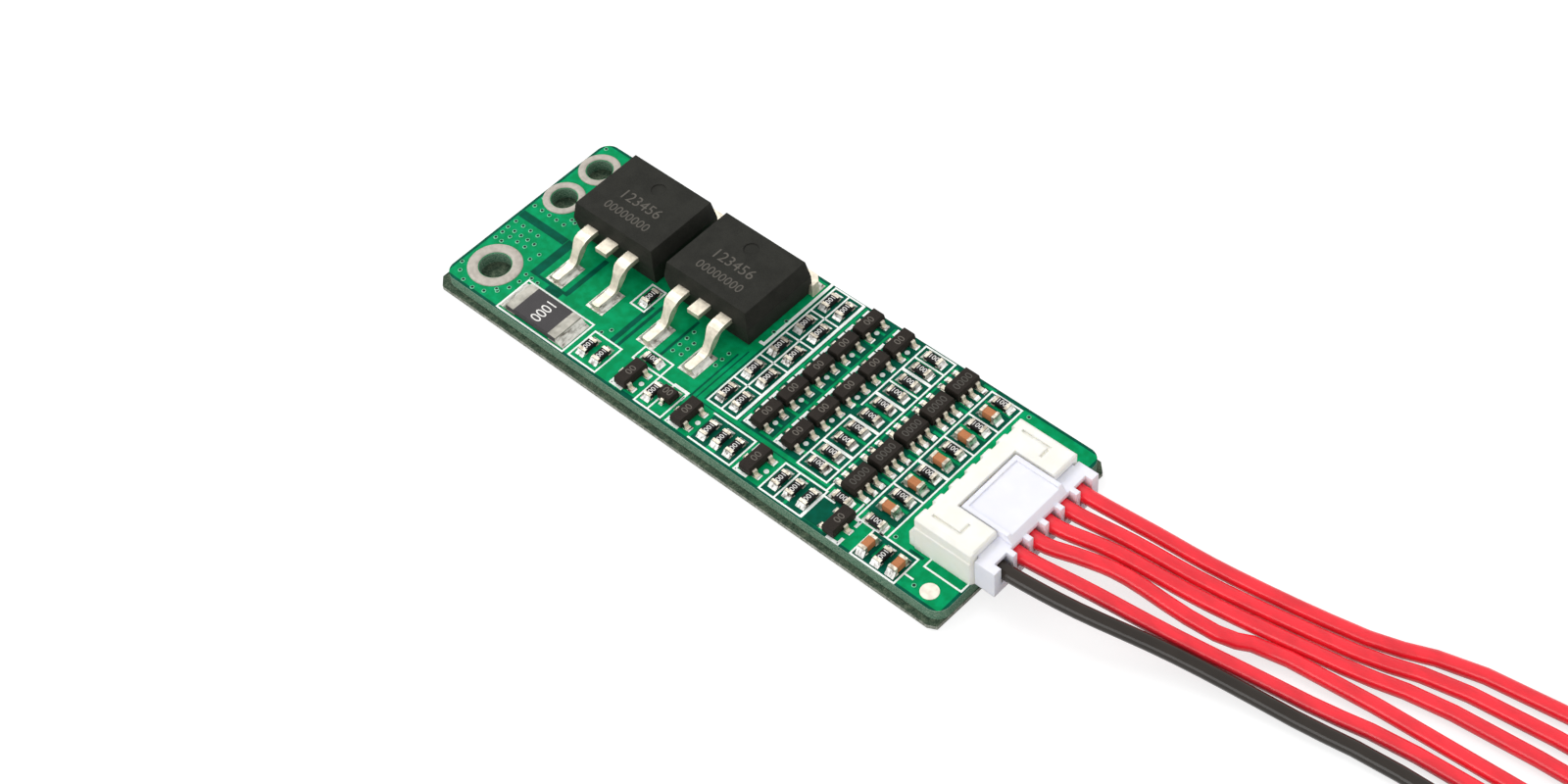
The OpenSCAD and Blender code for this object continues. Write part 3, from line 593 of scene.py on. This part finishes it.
def mould_finish(name, colour, rough=0.55, ease=0.08, speckle=0.2):
    """Moulded epoxy: dark, a little grainy, its edges faintly rubbed."""
    finish = Finish(name)
    grain = finish.noise(13, 4, roughness=0.7)
    cloud = finish.noise(0.8, 2)
    tone = 0.3 * cloud.rise(0.3, 0.7) + 0.7 * grain.rise(0.3, 0.7)
    shade = finish.blend(tone, [(1 - speckle) * c for c in colour],
                         [(1 + speckle) * c for c in colour])
    return finish.set(Base_Color=shade, Roughness=rough + 0.2 * (grain - 0.5),
                      Specular_IOR_Level=0.07,
                      Normal=finish.bump(grain, 0.45, 0.03, finish.eased(ease))).material


# How deep red, green and blue light go into nylon, in metres
NYLON_DEPTH = [0.001, 0.0009, 0.0007]


def nylon_finish(name, colour, shadow, ease=0.12):
    """Moulded nylon, waxy and slightly cloudy, with soft edges."""
    finish = Finish(name)
    cloud = finish.noise(0.5, 2)
    grain = finish.noise(14, 2)
    shade = finish.blend(cloud.rise(0.3, 0.75), shadow, colour)
    return finish.set(Base_Color=shade, Roughness=0.45 + 0.12 * grain, Subsurface_Weight=0.3,
                      Subsurface_Radius=NYLON_DEPTH, Subsurface_Scale=1.0,
                      Normal=finish.bump(grain, 0.12, 0.02, finish.eased(ease))).material


def rubber_finish(name, colour, shine, rough=0.2):
    """Wire insulation: glossy soft plastic, a little uneven along its length."""
    finish = Finish(name)
    cloud = finish.noise(0.35, 3, finish.stretched([1, 2.5, 2.5]))
    grain = finish.noise(12, 2)
    shade = finish.blend(cloud.rise(0.3, 0.7), [0.8 * c for c in colour], colour)
    return finish.set(Base_Color=shade, Roughness=rough + 0.08 * grain, Specular_IOR_Level=shine,
                      Normal=finish.bump(cloud + 0.15 * grain, 0.25, 0.06)).material


def ink_finish(name, colour, rough=0.5):
    """Printed ink, thin in places; the plated dots' pale rim and dark hollow, partly painted
    highlight and shadow, are made with it too.
    """
    finish = Finish(name)
    thin = finish.noise(9, 3)
    shade = finish.blend(thin.rise(0.3, 0.55), [0.82 * c for c in colour], colour)
    return finish.set(Base_Color=shade, Roughness=rough + 0.2 * thin,
                      Specular_IOR_Level=0.3).material


FINISHES = {}


def finish_named(name):
    """Each material is made once, when it is first asked for."""
    if name not in FINISHES:
        scene = bpy.context.scene
        makers = {
            "mask": lambda: mask_finish(scene.bms_board),
            "sheet": sheet_finish,
            "land": lambda: tin_finish(
                "tinned_land", tint(180, 173, 163), tint(166, 159, 149),
                blotch=2.5, rough=0.45, metal=0.25, relief=0.1),
            "tin": lambda: tin_finish("tinned_pin", tint(232, 228, 216), tint(206, 198, 184)),
            "lead": lambda: tin_finish(
                "tinned_lead", tint(228, 220, 202), tint(208, 199, 182),
                blotch=2.2, rough=0.35, metal=0.8),
            "end": lambda: tin_finish(
                "tinned_end", tint(226, 218, 202), tint(162, 152, 136),
                blotch=2.6, rough=0.3, metal=0.8),
            "terminal": lambda: tin_finish(
                "shunt_terminal", tint(182, 179, 168), tint(132, 130, 120),
                blotch=0.8, rough=0.4, metal=0.3),
            "test_pad": lambda: tin_finish(
                "test_pad_tin", tint(240, 234, 220), tint(226, 216, 202),
                blotch=1.5, rough=0.4, metal=0.4),
            # The solder's two colours are the dark and bright ends of a painted reflection
            "solder": lambda: solder_finish(
                "bright_solder", tint(78, 68, 56), tint(251, 250, 246), metal=0.9),
            "pad_solder": lambda: solder_finish(
                "pad_solder", tint(112, 108, 98), tint(214, 213, 204), metal=0.6),
            "mould": lambda: mould_finish("black_mould", tint(43, 43, 39), speckle=0.4),
            "chip_mould": lambda: mould_finish(
                "chip_mould", tint(45, 40, 36), rough=0.5, ease=0.06, speckle=0.3),
            "glaze": lambda: mould_finish(
                "resistor_glaze", tint(36, 34, 35), rough=0.4, ease=0.03),
            "shunt": lambda: mould_finish(
                "shunt_glaze", tint(74, 72, 73), rough=0.5, ease=0.05, speckle=0.12),
            "capacitor": lambda: mould_finish(
                "capacitor_body", tint(186, 122, 82), rough=0.5, ease=0.05, speckle=0.15),
            "header": lambda: nylon_finish(
                "ivory_nylon", tint(247, 246, 240), tint(243, 241, 231)),
            "plug": lambda: nylon_finish(
                "white_nylon", tint(240, 240, 249), tint(236, 236, 246)),
            "red": lambda: rubber_finish(
                "red_insulation", list(scene.bms_wires.red), shine=0.5),
            "black": lambda: rubber_finish(
                "black_insulation", list(scene.bms_wires.black), shine=0.32, rough=0.1),
            "ink": lambda: ink_finish("white_print", tint(248, 252, 248)),
            "figure_ink": lambda: ink_finish("pale_figures", tint(238, 236, 232)),
            "faint_ink": lambda: ink_finish("faint_figures", tint(100, 94, 86)),
            "power_ink": lambda: ink_finish("power_figures", tint(84, 80, 73)),
            "dim_ink": lambda: ink_finish("dim_figures", tint(74, 71, 65)),
            # The plated dots: a dark hollow that is partly painted shadow and a pale rim that is
            # partly painted highlight
            "pit": lambda: ink_finish("dot_hollow", tint(2, 34, 24)),
            "dot": lambda: ink_finish("dot_rim", tint(112, 204, 162), rough=0.2),
        }
        FINISHES[name] = makers[name]()
    return FINISHES[name]


# The CAD nodes that have each finish
NODE_FINISHES = {
    "mask": ["board"],
    "sheet": ["insulating_sheet"],
    "land": ["main_pad_ring", "side_pad_rings"],
    "tin": ["header_pins", "plug_contacts"],
    "terminal": ["shunt_terminals"],
    "test_pad": ["test_pad"],
    "lead": ["mosfet_1_leads", "mosfet_2_leads", "mosfet_1_tab", "mosfet_2_tab",
             "transistor_leads_1", "transistor_leads_2", "edge_transistor_leads",
             "cell_chip_leads"],
    "end": ["cell_resistor_ends", "pair_resistor_ends", "filter_resistor_ends",
            "filter_capacitor_ends", "edge_resistor_ends", "edge_capacitor_ends"],
    "pad_solder": ["mosfet_solder", "shunt_solder"],
    "solder": ["cell_resistor_solder", "pair_resistor_solder", "filter_solder", "edge_solder",
               "transistor_solder", "edge_transistor_solder", "cell_chip_solder",
               "header_solder"],
    "mould": ["mosfet_1_body", "mosfet_2_body"],
    "chip_mould": ["transistor_bodies_1", "transistor_bodies_2", "edge_transistor_bodies",
                   "cell_chip_bodies"],
    "glaze": ["cell_resistors", "pair_resistors", "filter_resistors", "edge_resistors"],
    "shunt": ["shunt_body"],
    "capacitor": ["filter_capacitors", "edge_capacitors"],
    "header": ["header_housing"],
    "plug": ["plug_housing"],
}


# ---- the pieces ----

# Each lamp's place and width in metres, and the setting that holds its power
LAMPS = [
    ("key_lamp", (-0.45, 0.08, 0.55), 0.3, "key_power"),
    ("fill_lamp", (0.3, 0.55, 0.5), 0.4, "fill_power"),
    ("near_lamp", (0.05, -0.6, 0.16), 0.4, "near_power"),
]
# Light from the horizon as a share of that from above
SIDE_LIGHT = 0.85
# The floor's colour and its own glow; its width and its drop under the lowest point, in metres
FLOOR_COLOUR = (0.36, 0.36, 0.36)
FLOOR_GLOW = 0.74
FLOOR_WIDTH = 6
FLOOR_DROP = 0.00005


class BMS_OT_stage(bpy.types.Operator):
    """White floor, white surroundings, soft lamps and the camera"""
    bl_idname = "bms.stage"
    bl_label = "Stage"

    def execute(self, context):
        studio = context.scene.bms_studio
        context.scene.view_settings.view_transform = "Standard"
        self.camera(context, studio)
        for name, place, width, power in LAMPS:
            self.lamp(context, name, Vector(place), width, getattr(studio, power))
        self.surroundings(context, studio)
        self.floor()
        return {"FINISHED"}

    def camera(self, context, studio):
        """A camera that looks at its aim from the set angles and distance."""
        turn = (Matrix.Rotation(studio.azimuth, 4, "Z")
                @ Matrix.Rotation(math.pi / 2 - studio.elevation, 4, "X"))
        back = turn.to_3x3() @ Vector((0, 0, studio.distance))
        data = bpy.data.cameras.new("camera")
        data.lens = studio.lens
        data.clip_start = 0.01
        camera = bpy.data.objects.new("camera", data)
        context.scene.collection.objects.link(camera)
        camera.matrix_world = (Matrix.Translation(Vector(studio.aim) + back) @ turn
                               @ Matrix.Rotation(studio.roll, 4, "Z"))
        context.scene.camera = camera

    def lamp(self, context, name, place, width, power):
        """A square lamp that faces the middle of the frame."""
        data = bpy.data.lights.new(name, "AREA")
        data.size = width
        data.energy = power
        lamp = bpy.data.objects.new(name, data)
        context.scene.collection.objects.link(lamp)
        lamp.matrix_world = (Matrix.Translation(place)
                             @ place.to_track_quat("Z", "Y").to_matrix().to_4x4())

    def surroundings(self, context, studio):
        """White to the camera and in reflections; otherwise light that falls from above."""
        world = bpy.data.worlds.new("surroundings")
        context.scene.world = world
        world.use_nodes = True
        world.node_tree.nodes.clear()
        sky = Nodes(world.node_tree)
        white = (1, 1, 1)
        toward = sky.node("ShaderNodeTexCoord", outlet="Generated")
        height = sky.node("ShaderNodeSeparateXYZ", inputs={0: toward}).outlet("Z")
        level = studio.sky * (SIDE_LIGHT + (1 - SIDE_LIGHT) * height.rise(0.0, 0.9))
        light = sky.node("ShaderNodeBackground", inputs={"Color": white, "Strength": level})
        seen = sky.node("ShaderNodeBackground", inputs={"Color": white, "Strength": 1.0})
        both = sky.node("ShaderNodeMixShader", inputs={0: white_rays(sky), 1: light, 2: seen})
        sky.node("ShaderNodeOutputWorld", inputs={"Surface": both})

    def floor(self):
        """A pale card that looks white to the camera and keeps the shadows."""
        clear()
        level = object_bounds()[0][2] - FLOOR_DROP
        bpy.ops.mesh.primitive_plane_add(size=FLOOR_WIDTH, location=(0, 0, level))
        floor = bpy.context.object
        floor.name = "floor"
        material = bpy.data.materials.new("white_floor")
        material.use_nodes = True
        material.node_tree.nodes.clear()
        card = Nodes(material.node_tree)
        paper = card.node("ShaderNodeBsdfDiffuse", inputs={"Color": FLOOR_COLOUR})
        glow = card.node("ShaderNodeEmission", inputs={"Strength": FLOOR_GLOW})
        white = card.node("ShaderNodeAddShader", inputs={0: paper, 1: glow})
        both = card.node("ShaderNodeMixShader",
                         inputs={0: white_rays(card), 1: paper, 2: white})
        card.node("ShaderNodeOutputMaterial", inputs={"Surface": both})
        floor.data.materials.append(material)
        floor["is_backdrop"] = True


def white_rays(nodes):
    """1 for rays of the camera, of reflections and through clear things, 0 for other light."""
    path = nodes.node("ShaderNodeLightPath")
    return path | path.outlet("Is Glossy Ray") | path.outlet("Is Transmission Ray")


# Route of each wire past the plug, in millimetres in the frame, the black one first
ROUTES = [
    [(38, -3.7, 3.3), (46, -1.4, 2), (56, 0.4, 0.9), (72, 2, 0.66), (131, 3, 0.66)],
    [(38, -1.6, 3.3), (45, -0.1, 2.1), (56, 2.2, 0.9), (72, 4.3, 0.66), (131, 6, 0.66)],
    [(35.5, 0.45, 3.6), (39, 1.45, 3.1), (47, 2.4, 1.8), (60, 5.4, 0.8), (131, 9, 0.66)],
    [(37, 2.6, 3.4), (45, 4.15, 2.1), (56, 6.7, 0.9), (72, 9.4, 0.66), (131, 12, 0.66)],
    [(37.5, 4.3, 3.35), (45, 5.75, 2.1), (56, 8.4, 0.9), (72, 11.8, 0.66), (131, 15, 0.66)],
    [(38, 6.15, 3.25), (45, 7.45, 2.1), (56, 10.1, 0.9), (72, 14.2, 0.66), (131, 18, 0.66)],
]
# Straight start of each wire inside the plug, in metres, and steps from point to point after it
STRAIGHT = 2.2 * MM
ROUTE_STEPS = 4
# The twist of bare strands: its radius and the rounding of its tip as shares of the wire's
# diameter, then in metres how far it reaches into the insulation and how near to its end an
# edge is the tip's
TWIST_RADIUS = 0.33
TWIST_TIP = 0.15
TWIST_TUCK = 0.5 * MM
TIP_NEAR = 1e-5


def smooth(points, steps):
    """Points of a smooth curve through a few given ones, as many steps to each span."""
    made = []
    for k in range(len(points) - 1):
        a, b = points[max(k - 1, 0)], points[k]
        c, d = points[k + 1], points[min(k + 2, len(points) - 1)]
        for j in range(steps):
            s = j / steps
            bend = 2 * a - 5 * b + 4 * c - d + s * (3 * (b - c) + d - a)
            made.append(b + 0.5 * s * (c - a + s * bend))
    return made + [points[-1]]


def length_of(points):
    """Length of the line through some points."""
    return sum((b - a).length for a, b in zip(points, points[1:]))


class BMS_OT_wires(bpy.types.Operator):
    """Five sense wires and the return wire, each with its stripped and tinned end"""
    bl_idname = "bms.wires"
    bl_label = "Wires"

    def execute(self, context):
        wires = context.scene.bms_wires
        for k, (route, contact) in enumerate(zip(ROUTES, solids("plug_contacts"))):
            low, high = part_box(f"wire_{k + 1}")
            first = Vector((low.x, spot(*middle(contact)).y, high.z - wires.diameter / 2))
            straight = [first, first + Vector((STRAIGHT, 0, 0))]
            line = smooth(straight + [Vector(p) * MM for p in route], ROUTE_STEPS)
            end = line[-1]
            # Points within a millimetre of the insulation's end would crowd it
            cut = [p for p in line if p.x < end.x - wires.stripped - MM]
            cut.append(end - Vector((wires.stripped, 0, 0)))
            colour = "black" if k == 0 else "red"
            wire = self.tube(f"wire_{k + 1}_insulation", cut, wires.diameter / 2, colour)
            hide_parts(f"wire_{k + 1}")
            ends = self.strands(f"wire_{k + 1}_end", cut[-1], end, wires.diameter)
            length_of(cut)
        return {"FINISHED"}

    def tube(self, name, points, radius, colour):
        """The insulation: one round curve through its points."""
        data = bpy.data.curves.new(name, "CURVE")
        data.dimensions = "3D"
        data.bevel_depth = radius
        data.bevel_resolution = 5
        data.use_fill_caps = True
        spline = data.splines.new("POLY")
        spline.points.add(len(points) - 1)
        for at, point in zip(spline.points, points):
            at.co = (*point, 1)
        wire = bpy.data.objects.new(name, data)
        bpy.context.collection.objects.link(wire)
        return finished(wire, name, finish_named(colour))

    def strands(self, name, start, end, diameter):
        """A twist of tinned strands that starts inside the insulation, its tip rounded."""
        clear()
        bpy.ops.mesh.primitive_cylinder_add(vertices=14, radius=diameter * TWIST_RADIUS,
                                            depth=(end - start).length + TWIST_TUCK)
        twist = bpy.context.object
        centre = (start + end) / 2 - Vector((TWIST_TUCK / 2, 0, 0))
        twist.matrix_world = (Matrix.Translation(centre)
                              @ Matrix.Rotation(math.pi / 2, 4, "Y"))
        settle(twist)
        edit(twist, lambda e: min(twist.data.vertices[i].co.x for i in e.vertices)
             > end.x - TIP_NEAR, "EDGE")
        bpy.ops.mesh.bevel(offset=diameter * TWIST_TIP, segments=3, affect="EDGES")
        bpy.ops.object.mode_set(mode="OBJECT")
        return finished(twist, name, finish_named("lead"))


# How thick the print's fine lines and dots and its heavy lines stand, and a dot's radius
FINE_INK = 0.03
HEAVY_INK = 0.032
INK_DOT = 0.24


class BMS_OT_outline_print(bpy.types.Operator):
    """White printed outlines, pin marks and row boxes on the board"""
    bl_idname = "bms.outline_print"
    bl_label = "Outline print"

    def execute(self, context):
        board = context.scene.bms_board
        fine = self.strip_lines() + self.cell_lines() + self.column_lines()
        heavy = self.corner_marks() + self.row_lines()
        places = [laid_between(a, b, board.stroke, FINE_INK) for a, b in fine]
        places += [laid_between(a, b, board.heavy_stroke, HEAVY_INK) for a, b in heavy]
        bars = copies(stroke_master(), places)
        size = Matrix.Diagonal((INK_DOT * MM, INK_DOT * MM, FINE_INK * MM, 1))
        dots = copies(dot_master(), [Matrix.Translation(spot(x, y)) @ size
                                     for x, y in self.dots()])
        finished(joined([bars, dots]), "outline_print", finish_named("ink"))
        return {"FINISHED"}

    def strip_lines(self):
        """Boxes and brackets of the near strip, and the box beside the power transistor."""
        lines = []
        for box in [(6.85, 15.15, 0.2, 4.15), (15.8, 19.05, 0.35, 3.7),
                    (15.85, 17.5, 8.05, 10.85), (20.45, 23.8, 3.65, 5.3),
                    (23.85, 27.0, 0.35, 3.7), (38.6, 43.3, 0.25, 3.6), (48.9, 53.6, 0.1, 3.15)]:
            lines += rectangle(*box)
        lines += polyline((25.45, 0.35), (25.45, 3.85), (27.05, 3.85), (27.05, 2.9))
        lines += polyline((30.3, 3.67), (35.1, 3.67), (35.1, 0.38), (30.3, 0.38))
        lines += polyline((40.25, 0.25), (40.25, 3.6))
        lines += polyline((43.15, 3.6), (43.15, 4.55))
        lines += polyline((43.4, 3.1), (44.5, 3.1))
        lines += polyline((46.5, 3.45), (46.5, 4.5))
        lines += polyline((53.7, 1.4), (54.5, 1.4))
        lines += polyline((54.4, 3.8), (54.4, 2.95), (58.3, 2.95), (58.3, 3.8))
        return lines

    def cell_lines(self):
        """A grid of boxes round the paired resistors of every cell."""
        lines = []
        columns = [28.75, 30.38, 32.05]
        near, step = 4.4, 3.29
        rows = [near + step * k for k in range(6)]
        for x in columns:
            lines += polyline((x, rows[0]), (x, rows[-1]))
        for y in rows:
            lines += polyline((columns[0], y), (columns[-1], y))
        return lines

    def column_lines(self):
        """Boxes round the rows of the two columns beside the cell chips."""
        lines = polyline((39.3, 17.6), (39.3, 20.8), (42.6, 20.8), (42.6, 4.25), (39.3, 4.25))
        lines += polyline((39.3, 4.25), (39.3, 10.85)) + polyline((39.3, 12.4), (39.3, 17.6))
        for y in (19.25, 15.9, 5.85):
            lines += polyline((39.3, y), (42.6, y))
        lines += rectangle(46.9, 50.2, 3.15, 20.5)
        for y in (17.4, 14.2, 7.75):
            lines += polyline((46.9, y), (50.2, y))
        return lines

    def row_lines(self):
        """The thick lines between cell rows, and the one beside the power transistor."""
        lines = polyline((27.9, 12.05), (28.25, 12.05), (28.25, 20.9))
        for y in (17.6, 14.15, 10.85, 7.5):
            lines += polyline((39.4, y), (42.5, y))
        lines += polyline((47.0, 10.9), (50.1, 10.9))
        lines += polyline((32.1, 4.5), (32.1, 20.75))
        return lines

    def corner_marks(self):
        """L marks at the near lead of each small transistor, and ticks at its far side."""
        lines = []
        for column in ("transistor_bodies_1", "transistor_bodies_2"):
            for low, high in solids(column):
                left = low.x - 0.62
                near = low.y + 0.02
                lines += polyline((left, near + 0.75), (left, near), (left + 1.1, near))
                lines += polyline((left, high.y - 0.6), (left, high.y - 0.1))
        lines += polyline((20.9, 1.05), (20.9, 0.52), (22.1, 0.52))
        lines += polyline((20.9, 3.05), (20.9, 3.6))
        lines += polyline((27.62, 1.1), (27.62, 0.5), (28.85, 0.5))
        lines += polyline((35.65, 1.1), (35.65, 0.45), (36.9, 0.45))
        lines += polyline((35.6, 2.9), (35.6, 3.55))
        lines += polyline((43.3, 0.35), (43.3, 3.0))
        lines += polyline((46.4, 0.16), (47.5, 0.16), (47.5, 0.7))
        lines += polyline((46.95, 3.0), (47.5, 3.0), (47.5, 2.45))
        return lines

    def dots(self):
        """Centres of the dots: on the near strip, and beside each small transistor."""
        dots = [(23.15, 2.0), (29.9, 2.0), (37.95, 1.9)]
        for column in ("transistor_bodies_1", "transistor_bodies_2"):
            dots += [(high.x + 0.25, middle((low, high)).y + 0.02)
                     for low, high in solids(column)]
        return dots


# A plated dot: how high its disc stands, how far its rim rises and its hollow sinks, then the
# widths of the rim and of the hollow's wall and the reach of the hollow as shares of its radius
DOT_DISC = 0.05
DOT_RISE = 0.012
DOT_SINK = 0.045
DOT_RIM = 0.3
DOT_WALL = 0.25
DOT_HOLLOW = 0.6
# How far the ring of dots stands off the large hole's land
RING_GAP = 0.62


class BMS_OT_plated_dots(bpy.types.Operator):
    """Small plated holes that stitch the copper pours, filled with mask"""
    bl_idname = "bms.plated_dots"
    bl_label = "Plated dots"

    def execute(self, context):
        radius = context.scene.bms_board.via_radius
        dots = copies(self.master(radius), [Matrix.Translation(spot(x, y))
                                            for x, y in self.places()])
        finished(dots, "plated_dots")
        return {"FINISHED"}

    def master(self, radius):
        """A low ring with a hollow in it: its rim pale green, partly painted highlight, and its
        hollow in a second, dark material, partly painted shadow.
        """
        clear()
        bpy.ops.mesh.primitive_cylinder_add(vertices=12, radius=radius * MM,
                                            depth=DOT_DISC * MM,
                                            location=(0, 0, DOT_DISC / 2 * MM))
        dot = settle(bpy.context.object)
        edit(dot, lambda f: f.normal.z > 0.9)
        bpy.ops.mesh.inset(thickness=radius * DOT_RIM * MM, depth=DOT_RISE * MM)
        bpy.ops.mesh.inset(thickness=radius * DOT_WALL * MM, depth=-DOT_SINK * MM)
        bpy.ops.object.mode_set(mode="OBJECT")
        dot.data.materials.append(finish_named("dot"))
        dot.data.materials.append(finish_named("pit"))
        for face in dot.data.polygons:
            across = Vector(face.center.xy).length / MM
            if face.normal.z > 0.3 and across < radius * DOT_HOLLOW:
                face.material_index = 1
        return dot

    def places(self):
        """Rows beside the wire holes, a rough ring round the large one, and some single ones."""
        spots = []
        for y, start, step, count in ((10.9, 0.65, 0.95, 5), (8.45, 0.7, 0.96, 4),
                                      (7.5, 0.65, 0.86, 5), (6.75, 0.7, 0.98, 4),
                                      (5.9, 0.7, 0.75, 2), (20.35, 3.7, 0.8, 3)):
            spots += [(start + step * k, y) for k in range(count)]
        low, high = extent(*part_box("main_pad_ring"))
        centre = middle((low, high))
        reach = (high.x - low.x) / 2 + RING_GAP
        for turn in (-130, -108, -84, -62, -40, -20, 0, 18, 52):
            at = math.radians(turn)
            spots.append((centre.x + reach * math.cos(at), centre.y + reach * math.sin(at)))
        spots += [(5.35, 6.9), (4.6, 11.8), (6.9, 4.45), (7.7, 4.4), (5.35, 1.6), (16.8, 4.7),
                  (16.3, 3.95), (5.1, 11.7), (0.5, 1.9), (0.6, 12.1), (0.6, 20.2), (5.5, 19.2)]
        for x, start, step, count in ((22.6, 6.45, 0.9, 4), (23.5, 6.6, 0.8, 3),
                                      (26.65, 7.6, 0.85, 3)):
            spots += [(x, start + step * k) for k in range(count)]
        spots += [(50.7, 3.7), (28.0, 13.6), (28.0, 15.2), (55.0, 1.0), (51.1, 20.3)]
        return spots


class BMS_OT_numbers(bpy.types.Operator):
    """Plain figures printed on the resistors, the transistors and the cell chips"""
    bl_idname = "bms.numbers"
    bl_label = "Numbers"

    def execute(self, context):
        figures = []
        for node in ("cell_resistors", "pair_resistors", "filter_resistors", "edge_resistors"):
            for box in solids(node):
                figures.append(self.figure("100", 0.5, box))
        figures.append(self.figure("1000", 1.2, solids("shunt_body")[0], across=True,
                                   narrow=0.78))
        finished(joined(figures), "value_figures", finish_named("figure_ink"))
        faint = []
        for node in ("transistor_bodies_1", "transistor_bodies_2", "edge_transistor_bodies"):
            faint += [self.figure("00", 0.7, box) for box in solids(node)]
        finished(joined(faint), "transistor_figures", finish_named("faint_ink"))
        power = []
        for node in ("mosfet_1_body", "mosfet_2_body"):
            box = extent(*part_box(node))
            power.append(self.figure("123456", 1.15, box, step=-0.4))
            power.append(self.figure("00000000", 0.95, box, step=-2.2))
        finished(joined(power), "power_figures", finish_named("power_ink"))
        dim = [self.figure("0000", 0.75, box) for box in solids("cell_chip_bodies")]
        finished(joined(dim), "chip_figures", finish_named("dim_ink"))
        return {"FINISHED"}

    def figure(self, body, height, box, across=False, step=0.0, narrow=1.0):
        """A number on top of a part, along its longer side or across it."""
        low, high = box
        centre = middle(box)
        upright = ((high - low).y > (high - low).x) != across
        return words(body, height, (centre.x, centre.y + step, high.z),
                     -90 if upright else 0, narrow)


class BMS_OT_finishes(bpy.types.Operator):
    """Gives every CAD node its material"""
    bl_idname = "bms.finishes"
    bl_label = "Finishes"

    def execute(self, context):
        dressed = set()
        for name, nodes in NODE_FINISHES.items():
            for node in nodes:
                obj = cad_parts[node]
                for place in obj.material_slots:
                    place.material = finish_named(name)
                if not obj.material_slots:
                    obj.data.materials.append(finish_named(name))
                dressed.add(node)
        left = [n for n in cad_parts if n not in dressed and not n.startswith("wire_")]
        if left:
            raise RuntimeError(f"these nodes have no finish: {left}")
        return {"FINISHED"}


class BMS_PT_board(bpy.types.Panel):
    """Lists the operators in the order in which they run"""
    bl_idname = "BMS_PT_board"
    bl_label = "Battery management board"
    bl_space_type = "VIEW_3D"
    bl_region_type = "UI"
    bl_category = "Board"

    def draw(self, context):
        for operator in OPERATORS:
            self.layout.operator(operator.bl_idname)


SETTINGS = {"bms_studio": StudioSettings, "bms_board": BoardSettings, "bms_wires": WireSettings}
OPERATORS = [BMS_OT_stage, BMS_OT_wires, BMS_OT_outline_print, BMS_OT_plated_dots,
             BMS_OT_numbers, BMS_OT_finishes]
CLASSES = [*SETTINGS.values(), *OPERATORS, BMS_PT_board]


def register():
    for cls in CLASSES:
        bpy.utils.register_class(cls)
    for name, group in SETTINGS.items():
        setattr(bpy.types.Scene, name, PointerProperty(type=group))


def unregister():
    for name in SETTINGS:
        delattr(bpy.types.Scene, name)
    for cls in reversed(CLASSES):
        bpy.utils.unregister_class(cls)


def main():
    register()
    for operator in OPERATORS:
        group, name = operator.bl_idname.split(".")
        getattr(getattr(bpy.ops, group), name)()


if __name__ == "__main__":
    main()
